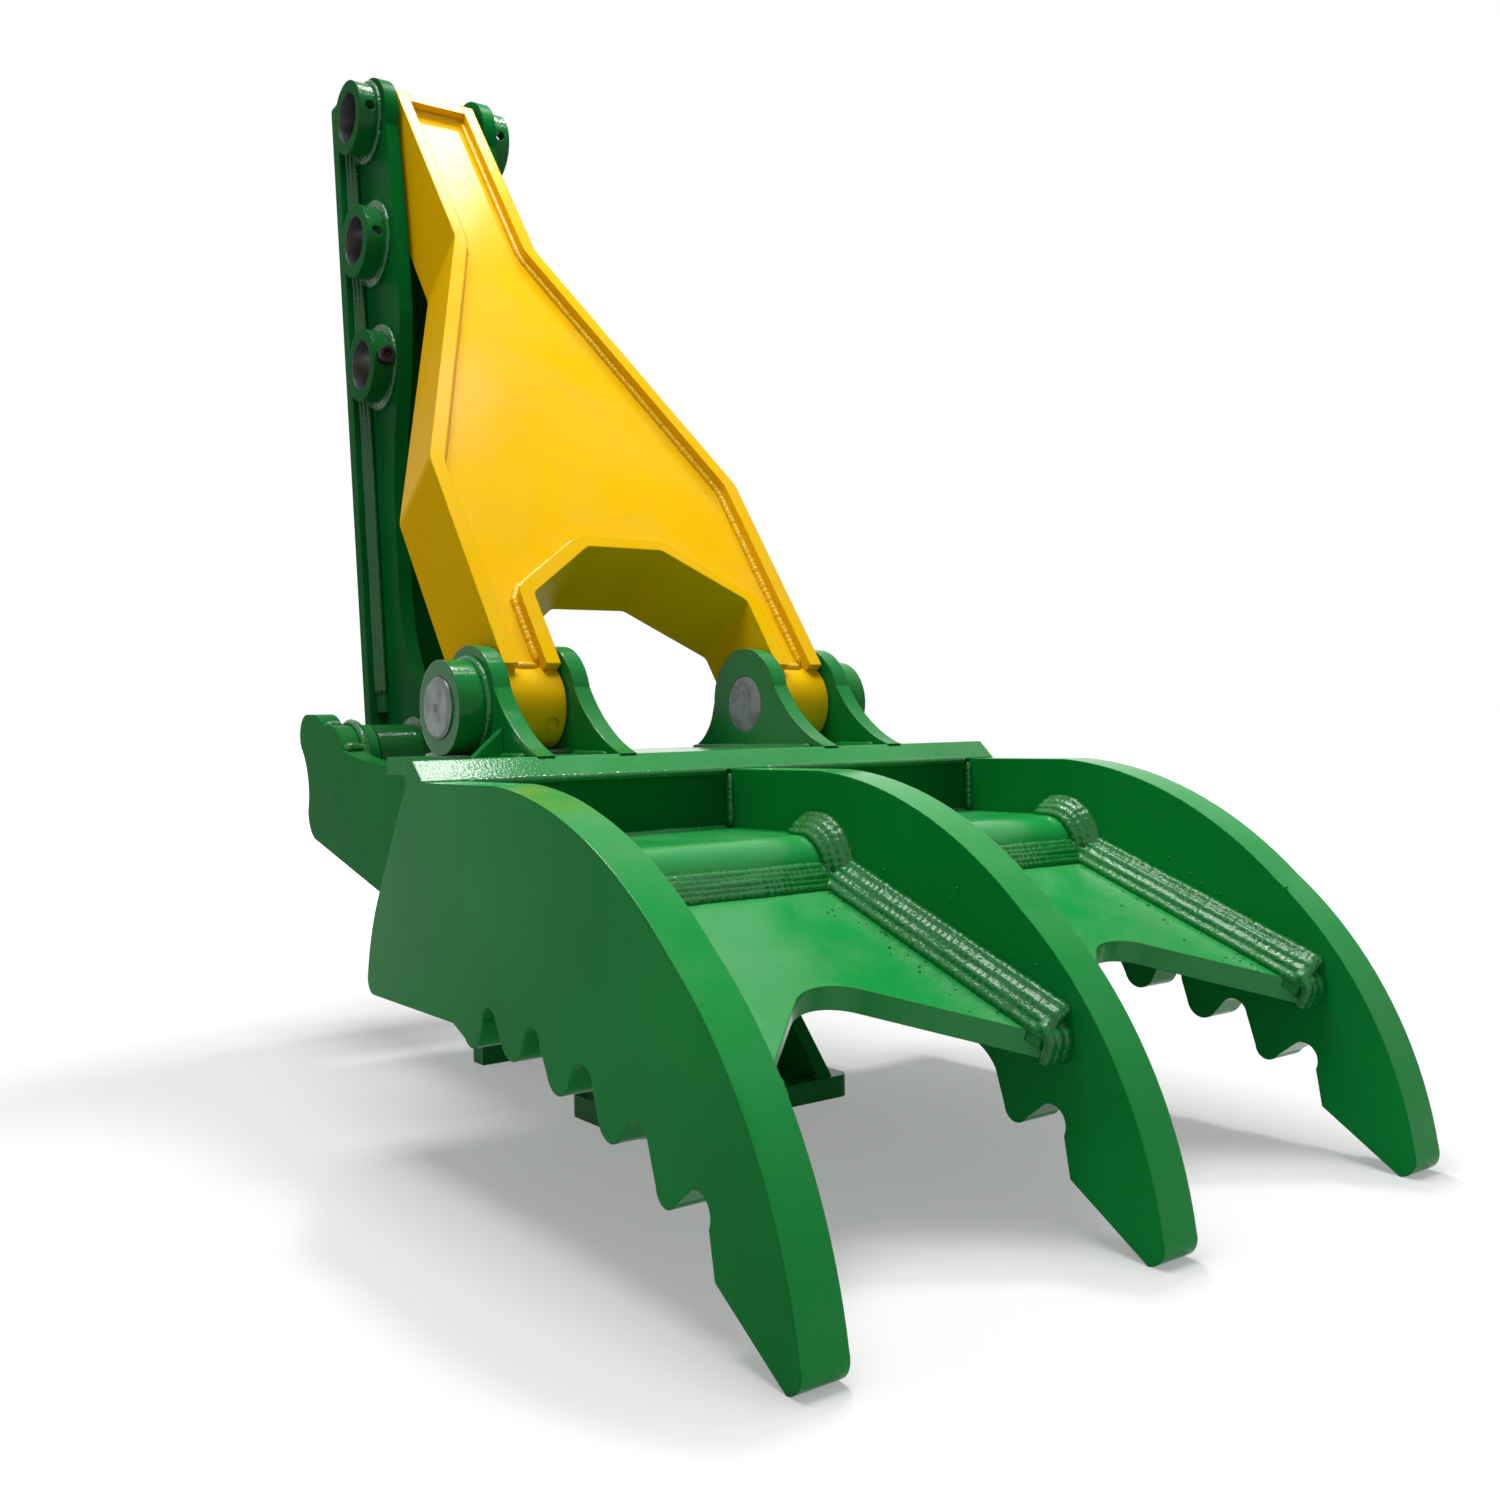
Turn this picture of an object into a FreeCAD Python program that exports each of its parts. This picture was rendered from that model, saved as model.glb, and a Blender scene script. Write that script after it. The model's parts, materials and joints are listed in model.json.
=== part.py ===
import FreeCAD, Part

import math
import os

V = FreeCAD.Vector

# Pins, bushes and fits, radii in mm
PIN_R = 30.0
RUN_CLEARANCE = 0.05
ADJUST_CLEARANCE = 1.0
BUSH_WALL = 6.0
BOSS_R = 46.0
SIDE_GAP = 1.5
SCREW_R = 6.0
SCREW_IN = 14.0
CHAMFER = 3.0
DIMPLE = 4.5

# Plate thicknesses
TINE_T = 36.0
PLATE_T = 18.0
CHEEK_T = 25.0
MOUNT_T = 20.0
SHELF_T = 20.0
WEB_T = 20.0

# Main points of the linkage, on the middle plane, +X towards the tips
PIVOT_BACK = 477.3
PIVOT_UP = 347.4
EAR_BACK = 22.0
EAR_UP = 405.0
PIVOT = V(-PIVOT_BACK, 0, PIVOT_UP)
EAR = V(-EAR_BACK, 0, EAR_UP)
LEAN = 4.2
MOUNT_TO_HOLES = 70.0
MOUNT_TO_PIVOT = 109.3
TOP_HOLE_UP = 844.7
HOLE_PITCH = 164.0
HOLES = 3

# Widths, measured from the middle plane
TINE_PITCH = 315.0
HALF_WIDTH = TINE_PITCH + TINE_T / 2
RAIL_IN = 60.0
RAIL_OUT = RAIL_IN + PLATE_T
RAIL_BOSS_OUT = RAIL_OUT + 27.5
MOUNT_HALF = 99.0
BARREL_HALF = 140.0
HINGE_ROOM = 22.5
CHEEK_IN = BARREL_HALF + SIDE_GAP + HINGE_ROOM
CHEEK_OUT = CHEEK_IN + CHEEK_T

# Tine side view
FLOOR = 0.0
TINE_TOP = 340.1
TINE_LOW = 146.7

# Top cross plate
DECK_TOP = TINE_TOP + PLATE_T
DECK_FRONT = 135.4
DECK_BEVEL = 19.6
DECK_BACK = -140.0
DECK_WIDE_BACK = 100.0
DECK_HALF = 252.0

# Web between the tines, a plate sloping down to the front
WEB_SLOPE = 20.5
WEB_FRONT = 555.0
WEB_ROOT = 427.0
WEB_ROOT_Y = 160.0
WEB_ROOT_R = 45.0
SHELF_FRONT = 294.0
SHELF_TOP = 284.0
WEB_START_Z = 244.4

# Arm
ARM_HALF_DEPTH = 52.0
ARM_T = 16.0
RIM = 14.0
NECK_HALF = RAIL_IN - 6.0
SHOULDER_HALF = 194.0
FOLD_1 = 286.0
FOLD_2 = 673.0
LEG_IN = 132.0
BARREL_R = 43.0
EYE_R = 45.0
ARCH_TOP = 787.0
ARCH_TOP_HALF = 46.0
ARCH_SIDE = 855.0

# Ears, set from the legs of the arm that run between them
EAR_GAP = 2.0
LEG_END = SHOULDER_HALF + 1.0
INNER_EAR = (LEG_IN - EAR_GAP - PLATE_T, LEG_IN - EAR_GAP)
OUTER_EAR = (LEG_END + EAR_GAP, LEG_END + EAR_GAP + PLATE_T)
EAR_BOSS_OUT = OUTER_EAR[1] + 31.0
PIN_END = EAR_BOSS_OUT + 4.0


def rod(x, z, r, y0, y1):
    return Part.makeCylinder(r, y1 - y0, V(x, y0, z), V(0, 1, 0))


def tube(x, z, outer, inner, y0, y1):
    return rod(x, z, outer, y0, y1).cut(rod(x, z, inner, y0, y1))


def pin(x, z, y0, y1):
    """Pin turned from the bar, with a chamfer and a centre dimple at its outer end y1."""
    side = [V(0, y0, 0), V(PIN_R, y0, 0), V(PIN_R, y1 - CHAMFER, 0), V(PIN_R - CHAMFER, y1, 0),
            V(DIMPLE, y1, 0), V(0, y1 - DIMPLE, 0)]
    face = Part.Face(Part.makePolygon(side + side[:1]))
    body = face.revolve(V(0, 0, 0), V(0, 1, 0), 360)
    body.translate(V(x, 0, z))
    return body


def outline(y, start, *steps):
    """Closed face in a plane of constant y; one point is a line, two are an arc, more are a curve."""
    edges = []
    here = V(start[0], y, start[1])
    first = here
    for step in steps:
        points = [V(a, y, b) for a, b in step]
        if len(points) == 1:
            edges.append(Part.makeLine(here, points[0]))
        elif len(points) == 2:
            edges.append(Part.Arc(here, points[0], points[1]).toShape())
        else:
            curve = Part.BSplineCurve()
            curve.interpolate([here] + points)
            edges.append(curve.toShape())
        here = points[-1]
    if here.distanceToPoint(first) > 1e-6:
        edges.append(Part.makeLine(here, first))
    return Part.Face(Part.Wire(edges))


def rounded(corners, plane="xz", offset=0.0):
    """Closed face from corners (a, b, radius), each corner rounded by an arc of its own radius."""
    def put(p):
        if plane == "xz":
            return V(p.x, offset, p.y)
        return V(p.x, p.y, offset)
    edges = []
    ends = []
    count = len(corners)
    for i in range(count):
        before = V(corners[i - 1][0], corners[i - 1][1], 0)
        here = V(corners[i][0], corners[i][1], 0)
        after = V(corners[(i + 1) % count][0], corners[(i + 1) % count][1], 0)
        radius = corners[i][2]
        if radius <= 0:
            ends.append((here, here))
            continue
        back = (before - here).normalize()
        ahead = (after - here).normalize()
        half = back.getAngle(ahead) / 2
        reach = radius / math.tan(half)
        middle = (back + ahead).normalize()
        mid = here + middle * (radius / math.sin(half) - radius)
        a = here + back * reach
        b = here + ahead * reach
        ends.append((a, b))
        edges.append(Part.Arc(put(a), put(mid), put(b)).toShape())
    for i in range(count):
        a = ends[i][1]
        b = ends[(i + 1) % count][0]
        if a.distanceToPoint(b) > 1e-6:
            edges.append(Part.makeLine(put(a), put(b)))
    return Part.Face(Part.Wire(Part.__sortEdges__(edges)))


def across(face, width):
    return face.extrude(V(0, width, 0))


def mirrored(shape):
    return shape.mirror(V(0, 0, 0), V(0, 1, 0))


def pair(shape):
    return Part.Compound([shape, mirrored(shape)])


def group(shapes):
    return Part.Compound(list(shapes))


def turned(shape, degrees, origin):
    """A shape drawn in a local frame, turned about the width axis and set on its origin."""
    out = shape.copy()
    out.Placement = FreeCAD.Placement(origin, FreeCAD.Rotation(V(0, 1, 0), degrees)).multiply(out.Placement)
    return out


# Tines: one hooked plate each, five saw teeth along the inner edge of the outer two
OUTER_EDGE = [[(404.0, 307.0), (511.0, 237.5)], [(597.0, 138.0), (637.8, 19.8)]]
TIP = [(634.3, 5.0), (624.0, FLOOR)]
LAST_TOOTH = [[(554.3, 44.3)], [(549.0, 75.2)], [(539.5, 96.0), (526.9, 92.2)], [(511.5, 80.9)],
              [(498.6, 75.5), (489.1, 86.5)], [(480.3, 113.3)]]
OTHER_TEETH = [[(470.2, 124.3), (455.7, 119.9)], [(444.1, 107.0)],
               [(427.4, 103.2), (416.4, 115.8)], [(410.1, 134.7)],
               [(397.8, 149.5), (383.0, 143.5)], [(375.7, 130.6)],
               [(358.1, 120.9), (343.9, 133.1)], [(333.8, 151.7)],
               [(321.5, 164.3), (310.2, 154.6)], [(303.6, 141.0)],
               [(286.6, 133.1), (270.8, 145.1)], [(261.4, 160.6)],
               [(250.3, 168.4), (239.3, 154.6)], [(234.6, 142.0)],
               [(222.0, 132.2), (206.2, 137.9)], [(184.2, TINE_LOW)]]
PLAIN_EDGE = [[(470.2, 124.3), (455.7, 132.0)], [(300.0, 182.0)], [(252.0, 190.0), (206.0, 170.0)],
              [(184.2, TINE_LOW)]]
TINE_REAR = [[(14.1, TINE_LOW)], [(4.7, 151.1), (2.1, 164.7)], [(15.0, 205.3), (36.5, 243.1)],
             [(103.0, TINE_TOP)]]


def tine(y_middle, edge):
    steps = [[(270.0, TINE_TOP)]] + OUTER_EDGE + [TIP] + LAST_TOOTH + edge + TINE_REAR
    face = outline(y_middle - TINE_T / 2, (103.0, TINE_TOP), *steps)
    return across(face, TINE_T)


# Deck: full width along its bevelled front edge, narrower behind under the ears
def deck():
    side = [(DECK_BACK, TINE_TOP), (DECK_FRONT, TINE_TOP), (DECK_FRONT - DECK_BEVEL, DECK_TOP),
            (DECK_BACK, DECK_TOP)]
    body = across(rounded([(a, b, 0) for a, b in side], "xz", -HALF_WIDTH), 2 * HALF_WIDTH)
    plan = rounded([(DECK_BACK, DECK_HALF, 0), (DECK_WIDE_BACK - 30, DECK_HALF, 25),
                    (DECK_WIDE_BACK, HALF_WIDTH, 0), (DECK_FRONT, HALF_WIDTH, 0),
                    (DECK_FRONT, -HALF_WIDTH, 0), (DECK_WIDE_BACK, -HALF_WIDTH, 0),
                    (DECK_WIDE_BACK - 30, -DECK_HALF, 25), (DECK_BACK, -DECK_HALF, 0)],
                   "xy", TINE_TOP)
    return body.common(plan.extrude(V(0, 0, PLATE_T)))


# Bays between the tines: front plate, folded shelf and sloping web, mirrored to the other side
BAY = (TINE_T / 2, TINE_PITCH - TINE_T / 2)
BAY_W = BAY[1] - BAY[0]
FRONT_PLATE_X = 115.0
SHELF_BACK = 87.0
FOLD_R = 32.0


def bay_front_plate():
    low = SHELF_TOP
    return Part.makeBox(PLATE_T, BAY_W, TINE_TOP - low, V(FRONT_PLATE_X, BAY[0], low))


def shelf():
    low = WEB_START_Z - WEB_T - 4
    corners = [(SHELF_BACK, SHELF_TOP, 0), (SHELF_FRONT, SHELF_TOP, FOLD_R), (SHELF_FRONT, low, 0),
               (SHELF_FRONT - SHELF_T, low, 0), (SHELF_FRONT - SHELF_T, SHELF_TOP - SHELF_T, FOLD_R - SHELF_T),
               (SHELF_BACK, SHELF_TOP - SHELF_T, 0)]
    return across(rounded(corners, "xz", BAY[0]), BAY_W)


def web():
    """Sloping plate with a right-angled V cut into its front edge, its root in a round corner."""
    length = (WEB_FRONT - SHELF_FRONT) / math.cos(math.radians(WEB_SLOPE))
    root = (WEB_ROOT - SHELF_FRONT) / math.cos(math.radians(WEB_SLOPE))
    inner = BAY[0]
    outer = BAY[1]
    corners = [(0, inner, 0), (length, inner, 0), (root, WEB_ROOT_Y, WEB_ROOT_R), (length, outer, 0),
               (0, outer, 0)]
    flat = rounded(corners, "xy", -WEB_T).extrude(V(0, 0, WEB_T))
    return turned(flat, WEB_SLOPE, V(SHELF_FRONT, 0, WEB_START_Z))


# Fillet welds: how far each reaches along the plate and up the wall, and how deep its root is sunk
WEB_BEAD = (22.0, 25.0)
FOLD_BEAD = (18.0, 19.0)
SHELF_BEAD = (17.0, 17.5)
BEAD_ROOT = 8.0
FOLD_BEAD_AHEAD = 4.0
LOBE = 12.0


def bead_profile(reach, rise, side, passes, root=0.0, fall=0.0):
    """Section of a fillet weld in the YZ corner at the origin, one low ridge for each pass; the plate may fall
    away towards the toe."""
    toes = [V(0, side * reach * (1 - i / passes), rise * i / passes - fall * (1 - i / passes))
            for i in range(passes + 1)]
    out = V(0, side * (rise + fall), reach).normalize()
    ridged = [toes[0]] + [p + out * reach * 0.1 for p in toes[1:-1]] + [toes[-1]]
    points = [V(0, 0, -root), V(0, side * reach, -root)] if root else [V(0, 0, 0)]
    for a, b in zip(ridged[:-1], ridged[1:]):
        points += [a, (a + b) / 2 + out * (b - a).Length * 0.22]
    points.append(ridged[-1])
    return Part.Face(Part.makePolygon(points + points[:1]))


def tine_weld(wall, side):
    """Four-pass bead along a tine: a round start on the shelf, over its fold, then along the sloping web."""
    run = (WEB_FRONT - 6 - SHELF_FRONT) / math.cos(math.radians(WEB_SLOPE))
    back = WEB_BEAD[1] / 2
    bead = bead_profile(*WEB_BEAD, side, 4, BEAD_ROOT).extrude(V(run + back, 0, 0))
    bead.translate(V(-back, 0, 0))
    along_web = turned(bead, WEB_SLOPE, V(SHELF_FRONT, wall, WEB_START_Z))
    turn = V(SHELF_FRONT - FOLD_R + FOLD_BEAD_AHEAD, wall, SHELF_TOP - FOLD_R)
    section = bead_profile(*FOLD_BEAD, side, 4, BEAD_ROOT)
    front_run = section.extrude(V(turn.z - WEB_START_Z + 12, 0, 0))
    down_front = turned(front_run, 90, turn + V(FOLD_R, 0, 0))
    section.translate(V(turn.x, wall, SHELF_TOP))
    over_fold = section.revolve(turn, V(0, 1, 0), 90)
    lobe = section.extrude(V(-LOBE, 0, 0))
    section.translate(V(-LOBE, 0, 0))
    start = section.revolve(V(turn.x - LOBE, wall, 0), V(0, 0, 1), 90 * side)
    body = along_web.fuse([down_front, over_fold, lobe, start]).cut(shelf()).cut(web()).removeSplitter()
    return max(body.Solids, key=lambda solid: solid.Volume)


def shelf_weld():
    """Three-pass bead in the corner of the shelf's front and the web."""
    fall = SHELF_BEAD[0] * math.tan(math.radians(WEB_SLOPE))
    bead = bead_profile(*SHELF_BEAD, 1, 3, BEAD_ROOT, fall).extrude(V(BAY_W, 0, 0))
    bead.rotate(V(0, 0, 0), V(0, 0, 1), -90)
    bead.translate(V(SHELF_FRONT - 3, BAY[1], WEB_START_Z))
    return bead


def web_welds():
    """Heavy beads where a bay's web meets the two tines and the shelf."""
    at_centre = tine_weld(BAY[0], 1)
    at_outer = tine_weld(BAY[1], -1)
    at_shelf = shelf_weld().cut(web()).cut(shelf()).cut(at_centre).cut(at_outer)
    return [at_centre, at_outer, max(at_shelf.Solids, key=lambda solid: solid.Volume)]


# Box behind the bays: bottom plate and slanted rear plates between tines and cheeks
def bottom_plate():
    return Part.makeBox(163, BAY_W, PLATE_T, V(7, BAY[0], TINE_LOW))


def shelf_post():
    """Upright plate that closes the box from the shelf down to the bottom plate."""
    return Part.makeBox(PLATE_T, BAY_W, SHELF_TOP - SHELF_T - TINE_LOW - PLATE_T,
                        V(FRONT_PLATE_X + 5, BAY[0], TINE_LOW + PLATE_T))


def rear_plates():
    foot = TINE_LOW + PLATE_T
    slant = [(7.0, foot, 0), (15.0, 205.3, 0), (36.5, 243.1, 0), (103.0, TINE_TOP, 0),
             (125.0, TINE_TOP, 0), (114.0, 324.0, 0), (56.0, 239.0, 0), (34.0, 200.0, 0),
             (25.0, foot, 0)]
    whole = across(rounded(slant, "xz", BAY[0]), BAY_W)
    front = Part.makeBox(PLATE_T, BAY_W, TINE_TOP - SHELF_TOP, V(FRONT_PLATE_X, BAY[0], SHELF_TOP))
    whole = whole.cut(front).cut(cheek())
    return whole.Solids


# Hinge cheeks: the two long side plates that reach back to the pivot
BELLY = [(-380.0, 213.0), (-327.0, 200.0), (-30.0, 160.0)]


def cheek():
    """Long plate whose upper edge sweeps up behind the pivot into a blunt horn."""
    steps = [[(DECK_BACK, TINE_TOP)], [(DECK_BACK, 350.0)], [(-226.0, 346.5)],
             [(-290.0, 346.5), (-390.0, 354.0), (-445.0, 366.0), (-492.0, 386.0)],
             [(-520.0, 405.0), (-548.0, 407.0)], [(-582.0, 390.0), (-580.0, 366.0)],
             [(-563.0, 342.0), (-561.0, 285.0)], [(-555.0, 264.0), (-530.0, 249.0)],
             [BELLY[1]], [BELLY[2]],
             [(7.0, 160.0)], [(7.0, TINE_LOW + PLATE_T)], [(FRONT_PLATE_X, TINE_LOW + PLATE_T)],
             [(FRONT_PLATE_X, SHELF_TOP - SHELF_T)], [(SHELF_BACK, SHELF_TOP - SHELF_T)],
             [(SHELF_BACK, SHELF_TOP)], [(FRONT_PLATE_X, SHELF_TOP)]]
    face = outline(CHEEK_IN, (FRONT_PLATE_X, TINE_TOP), *steps)
    body = across(face, CHEEK_T)
    return body.cut(rod(PIVOT.x, PIVOT.z, BOSS_R, CHEEK_IN - 1, CHEEK_OUT + 1))


def hinge_boss():
    y0 = BARREL_HALF + SIDE_GAP
    body = tube(PIVOT.x, PIVOT.z, BOSS_R, PIN_R, y0, CHEEK_OUT)
    screw = Part.makeCylinder(SCREW_R, 2 * BOSS_R, V(PIVOT.x, HINGE_SCREW_Y, PIVOT.z), V(0, 0, -1))
    return body.cut(screw)


HINGE_SCREW_Y = CHEEK_IN - HINGE_ROOM / 2


def belly_plate():
    """Plate between the cheeks along their lower edge, carrying the rear foot."""
    lower = [(x, z, 0) for x, z in BELLY] + [(0.0, BELLY[2][1], 0)]
    upper = [(x, z + 16.0, 0) for x, z, _ in reversed(lower)]
    return across(rounded(lower + upper, "xz", -CHEEK_IN), 2 * CHEEK_IN)


def under_belly(x):
    """Height of the belly plate's lower face over its long front part."""
    (x0, z0), (x1, z1) = BELLY[1:]
    return z0 + (x - x0) * (z1 - z0) / (x1 - x0)


def pivot_pin():
    """Plain pin, plugged and ground flush with the cheeks."""
    return rod(PIVOT.x, PIVOT.z, PIN_R, -CHEEK_OUT, CHEEK_OUT)


def set_screws(centre, y, way):
    """Grub screws through the boss walls onto the pin, one each side."""
    body = Part.makeCylinder(SCREW_R, BOSS_R - PIN_R + 3, V(centre.x, y, centre.z) + way * PIN_R, way)
    return pair(body)


# Ears: four bell-shaped plates on the deck, two for each leg of the arm
def ear(span):
    x = EAR.x
    z = EAR.z
    face = outline(span[0], (x - 105, DECK_TOP),
                   [(x - 78, z - 33), (x - 64, z - 14)], [(x - 58, z + 4)],
                   [(x - 41, z + 44), (x + 3, z + 60)], [(x + 38, z + 45), (x + 54, z + 18)],
                   [(x + 82, z - 14), (x + 140, DECK_TOP)])
    body = across(face, span[1] - span[0])
    return body.cut(rod(x, z, PIN_R, span[0] - 1, span[1] + 1))


def ear_boss():
    body = tube(EAR.x, EAR.z, BOSS_R - 0.1, PIN_R, OUTER_EAR[1], EAR_BOSS_OUT)
    return body.cut(Part.makeCylinder(SCREW_R, 60, V(EAR.x, EAR_BOSS_OUT - SCREW_IN, EAR.z), V(-1, 0, 0)))


def ear_gusset():
    """Small three-cornered plate in the corner of outer ear, boss and deck."""
    face = Part.Face(Part.makePolygon([V(EAR.x + 62, OUTER_EAR[1], DECK_TOP),
                                       V(EAR.x + 62, OUTER_EAR[1] + 30, DECK_TOP),
                                       V(EAR.x + 62, OUTER_EAR[1], DECK_TOP + 26),
                                       V(EAR.x + 62, OUTER_EAR[1], DECK_TOP)]))
    return face.extrude(V(10, 0, 0))


def ear_pin():
    return pin(EAR.x, EAR.z, INNER_EAR[0], PIN_END)


# Stand feet under the box and under the belly, level with the tips
FRONT_FOOT = (1.0, 124.0)
FRONT_FOOT_HALF = 130.0
REAR_FOOT = (-279.0, -254.0)
REAR_FOOT_HALF = 101.0
FOOT_T = 22.0


def front_foot():
    pad = Part.makeBox(FRONT_FOOT[1] - FRONT_FOOT[0], 2 * FRONT_FOOT_HALF, FOOT_T,
                       V(FRONT_FOOT[0], -FRONT_FOOT_HALF, FLOOR))
    return pad.makeFillet(14, [e for e in pad.Edges if abs(e.Vertexes[0].Z - e.Vertexes[1].Z) > 1])


def front_post():
    half = FRONT_FOOT_HALF - 10
    return Part.makeBox(PLATE_T, 2 * half, TINE_LOW - FOOT_T, V(20.0, -half, FOOT_T))


def front_foot_gussets():
    x0 = 20.0 + PLATE_T
    corners = [(x0, FOOT_T, 0), (FRONT_FOOT[1] - 6, FOOT_T, 0), (x0, 112.0, 0)]
    return pair(across(rounded(corners, "xz", FRONT_FOOT_HALF - 36), 16))


def rear_foot():
    corners = [(REAR_FOOT[0], FLOOR, 0), (REAR_FOOT[1], FLOOR, 0),
               (REAR_FOOT[1], under_belly(REAR_FOOT[1]), 0), (REAR_FOOT[0], under_belly(REAR_FOOT[0]), 0)]
    return across(rounded(corners, "xz", -REAR_FOOT_HALF), 2 * REAR_FOOT_HALF)


def rear_foot_gussets():
    corners = [(REAR_FOOT[1], 60.0, 0), (REAR_FOOT[1] + 95, under_belly(REAR_FOOT[1] + 95), 0),
               (REAR_FOOT[1], under_belly(REAR_FOOT[1]), 0)]
    body = across(rounded(corners, "xz", REAR_FOOT_HALF - 22), 16)
    return pair(body)


# Base bracket, drawn upright: u forward from the mount face, w up from the pivot's height
def base_frame(shape):
    origin = PIVOT - V(math.cos(math.radians(LEAN)), 0, math.sin(math.radians(LEAN))) * MOUNT_TO_PIVOT
    return turned(shape, -LEAN, origin)


def hole_heights():
    return [TOP_HOLE_UP - i * HOLE_PITCH for i in range(HOLES)]


MOUNT_LOW = 45.0
MOUNT_HIGH = 892.0
RAIL_SHOULDER = 850.0


def mount_plate():
    body = Part.makeBox(MOUNT_T, 2 * MOUNT_HALF, MOUNT_HIGH - MOUNT_LOW, V(0, -MOUNT_HALF, MOUNT_LOW))
    ends = [e for e in body.Edges if abs(e.Vertexes[0].X - e.Vertexes[1].X) > 1]
    return base_frame(body.makeFillet(10, ends))


def rail():
    """Side rail: round top, bulging front edge at the holes, flared foot over the barrel."""
    steps = [[(MOUNT_T, RAIL_SHOULDER)], [(35.5, 882.0), (70.0, 896.0)], [(116.0, 880.0), (128.0, 820.0)],
             [(137.0, 700.0), (140.5, 572.0)], [(130.0, 510.0), (103.0, 420.0)], [(90.5, 330.0), (89.5, 250.0)],
             [(96.0, 160.0), (134.0, 80.0)], [(158.0, 30.0)], [(148.0, -10.0)],
             [(70.0, -10.0)], [(52.0, 20.0)], [(MOUNT_T, 60.0)]]
    body = across(outline(RAIL_IN, (MOUNT_T, 60.0), *steps), RAIL_OUT - RAIL_IN)
    for w in hole_heights():
        body = body.cut(rod(MOUNT_TO_HOLES, w, PIN_R + ADJUST_CLEARANCE, RAIL_IN - 1, RAIL_OUT + 1))
    body = body.cut(rod(MOUNT_TO_PIVOT, 0, BOSS_R, RAIL_IN - 1, RAIL_OUT + 1))
    return base_frame(body)


def rail_boss(w):
    body = tube(MOUNT_TO_HOLES, w, BOSS_R, PIN_R + ADJUST_CLEARANCE, RAIL_OUT, RAIL_BOSS_OUT)
    hole = Part.makeCylinder(SCREW_R + 0.5, 60, V(MOUNT_TO_HOLES, LOCK_Y, w), LOCK_WAY)
    return base_frame(body.cut(hole))


LOCK_Y = (RAIL_OUT + RAIL_BOSS_OUT) / 2
LOCK_WAY = V(1, 0, 0)


def lock_bolt():
    """Cap screw of the adjusting pin, parked in the cross hole of the lowest boss."""
    centre = V(MOUNT_TO_HOLES, LOCK_Y, hole_heights()[-1])
    seat = centre + LOCK_WAY * BOSS_R
    shank = Part.makeCylinder(SCREW_R + 0.5, BOSS_R - PIN_R - 3, centre + LOCK_WAY * (PIN_R + 3), LOCK_WAY)
    head = Part.makeCylinder(10.5, 12.0, seat, LOCK_WAY)
    corners = [V(0, 6.9 * math.cos(math.radians(60 * i)), 6.9 * math.sin(math.radians(60 * i)))
               for i in range(7)]
    socket = Part.Face(Part.makePolygon(corners)).extrude(LOCK_WAY * 7.0)
    socket.translate(seat + LOCK_WAY * 6.0)
    return base_frame(mirrored(shank.fuse(head).cut(socket)))


def rail_welds():
    """Long multi-pass bead in the corner of rail and mount plate."""
    bead = bead_profile(13, 13, 1, 2).extrude(V(MOUNT_HIGH - 30 - 80, 0, 0))
    up = bead.copy()
    up.Placement = FreeCAD.Placement(V(MOUNT_T, RAIL_OUT, RAIL_SHOULDER), FreeCAD.Rotation(V(0, 1, 0), 90))
    for w in hole_heights():
        up = up.cut(rod(MOUNT_TO_HOLES, w, BOSS_R, RAIL_OUT - 1, RAIL_BOSS_OUT + 1))
    return base_frame(pair(up))


def base_barrel():
    return base_frame(tube(MOUNT_TO_PIVOT, 0, BOSS_R, PIN_R + RUN_CLEARANCE + BUSH_WALL,
                           -BARREL_HALF, BARREL_HALF))


def base_bushes():
    body = tube(MOUNT_TO_PIVOT, 0, PIN_R + RUN_CLEARANCE + BUSH_WALL, PIN_R + RUN_CLEARANCE,
                BARREL_HALF - 70, BARREL_HALF)
    return base_frame(pair(body))


def base_tie_plate():
    """Cross plate between the rails just above the barrel."""
    corners = [(MOUNT_T, 78.0, 0), (118.0, 78.0, 0), (118.0, 62.0, 0), (MOUNT_T, 62.0, 0)]
    return base_frame(across(rounded(corners, "xz", -RAIL_IN), 2 * RAIL_IN))


# Arm, drawn along its own axis: s from the upper eye to the leg barrels, n towards the front
NECK_LIP = 12.0


def arm_place():
    span = EAR - V(*eye_point())
    return math.degrees(math.atan2(-span.z, span.x)), V(*eye_point())


def eye_point():
    lean = math.radians(LEAN)
    w = hole_heights()[0]
    ahead = MOUNT_TO_HOLES - MOUNT_TO_PIVOT
    return (PIVOT.x + ahead * math.cos(lean) - w * math.sin(lean), 0.0,
            PIVOT.z + ahead * math.sin(lean) + w * math.cos(lean))


def arm_length():
    return (EAR - V(*eye_point())).Length


def arm_frame(shape):
    degrees, origin = arm_place()
    return turned(shape, degrees, origin)


def cut_ends(shape, reach=0.0):
    """Take the eye and the leg barrels out of a plate of the arm."""
    end = arm_length()
    shape = shape.cut(rod(0, 0, EYE_R, -NECK_HALF - 5, NECK_HALF + 5))
    shape = shape.cut(rod(end, 0, BARREL_R, LEG_IN - 10, SHOULDER_HALF + 10))
    return shape.cut(rod(end, 0, BARREL_R, -SHOULDER_HALF - 10, -LEG_IN + 10))


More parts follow.
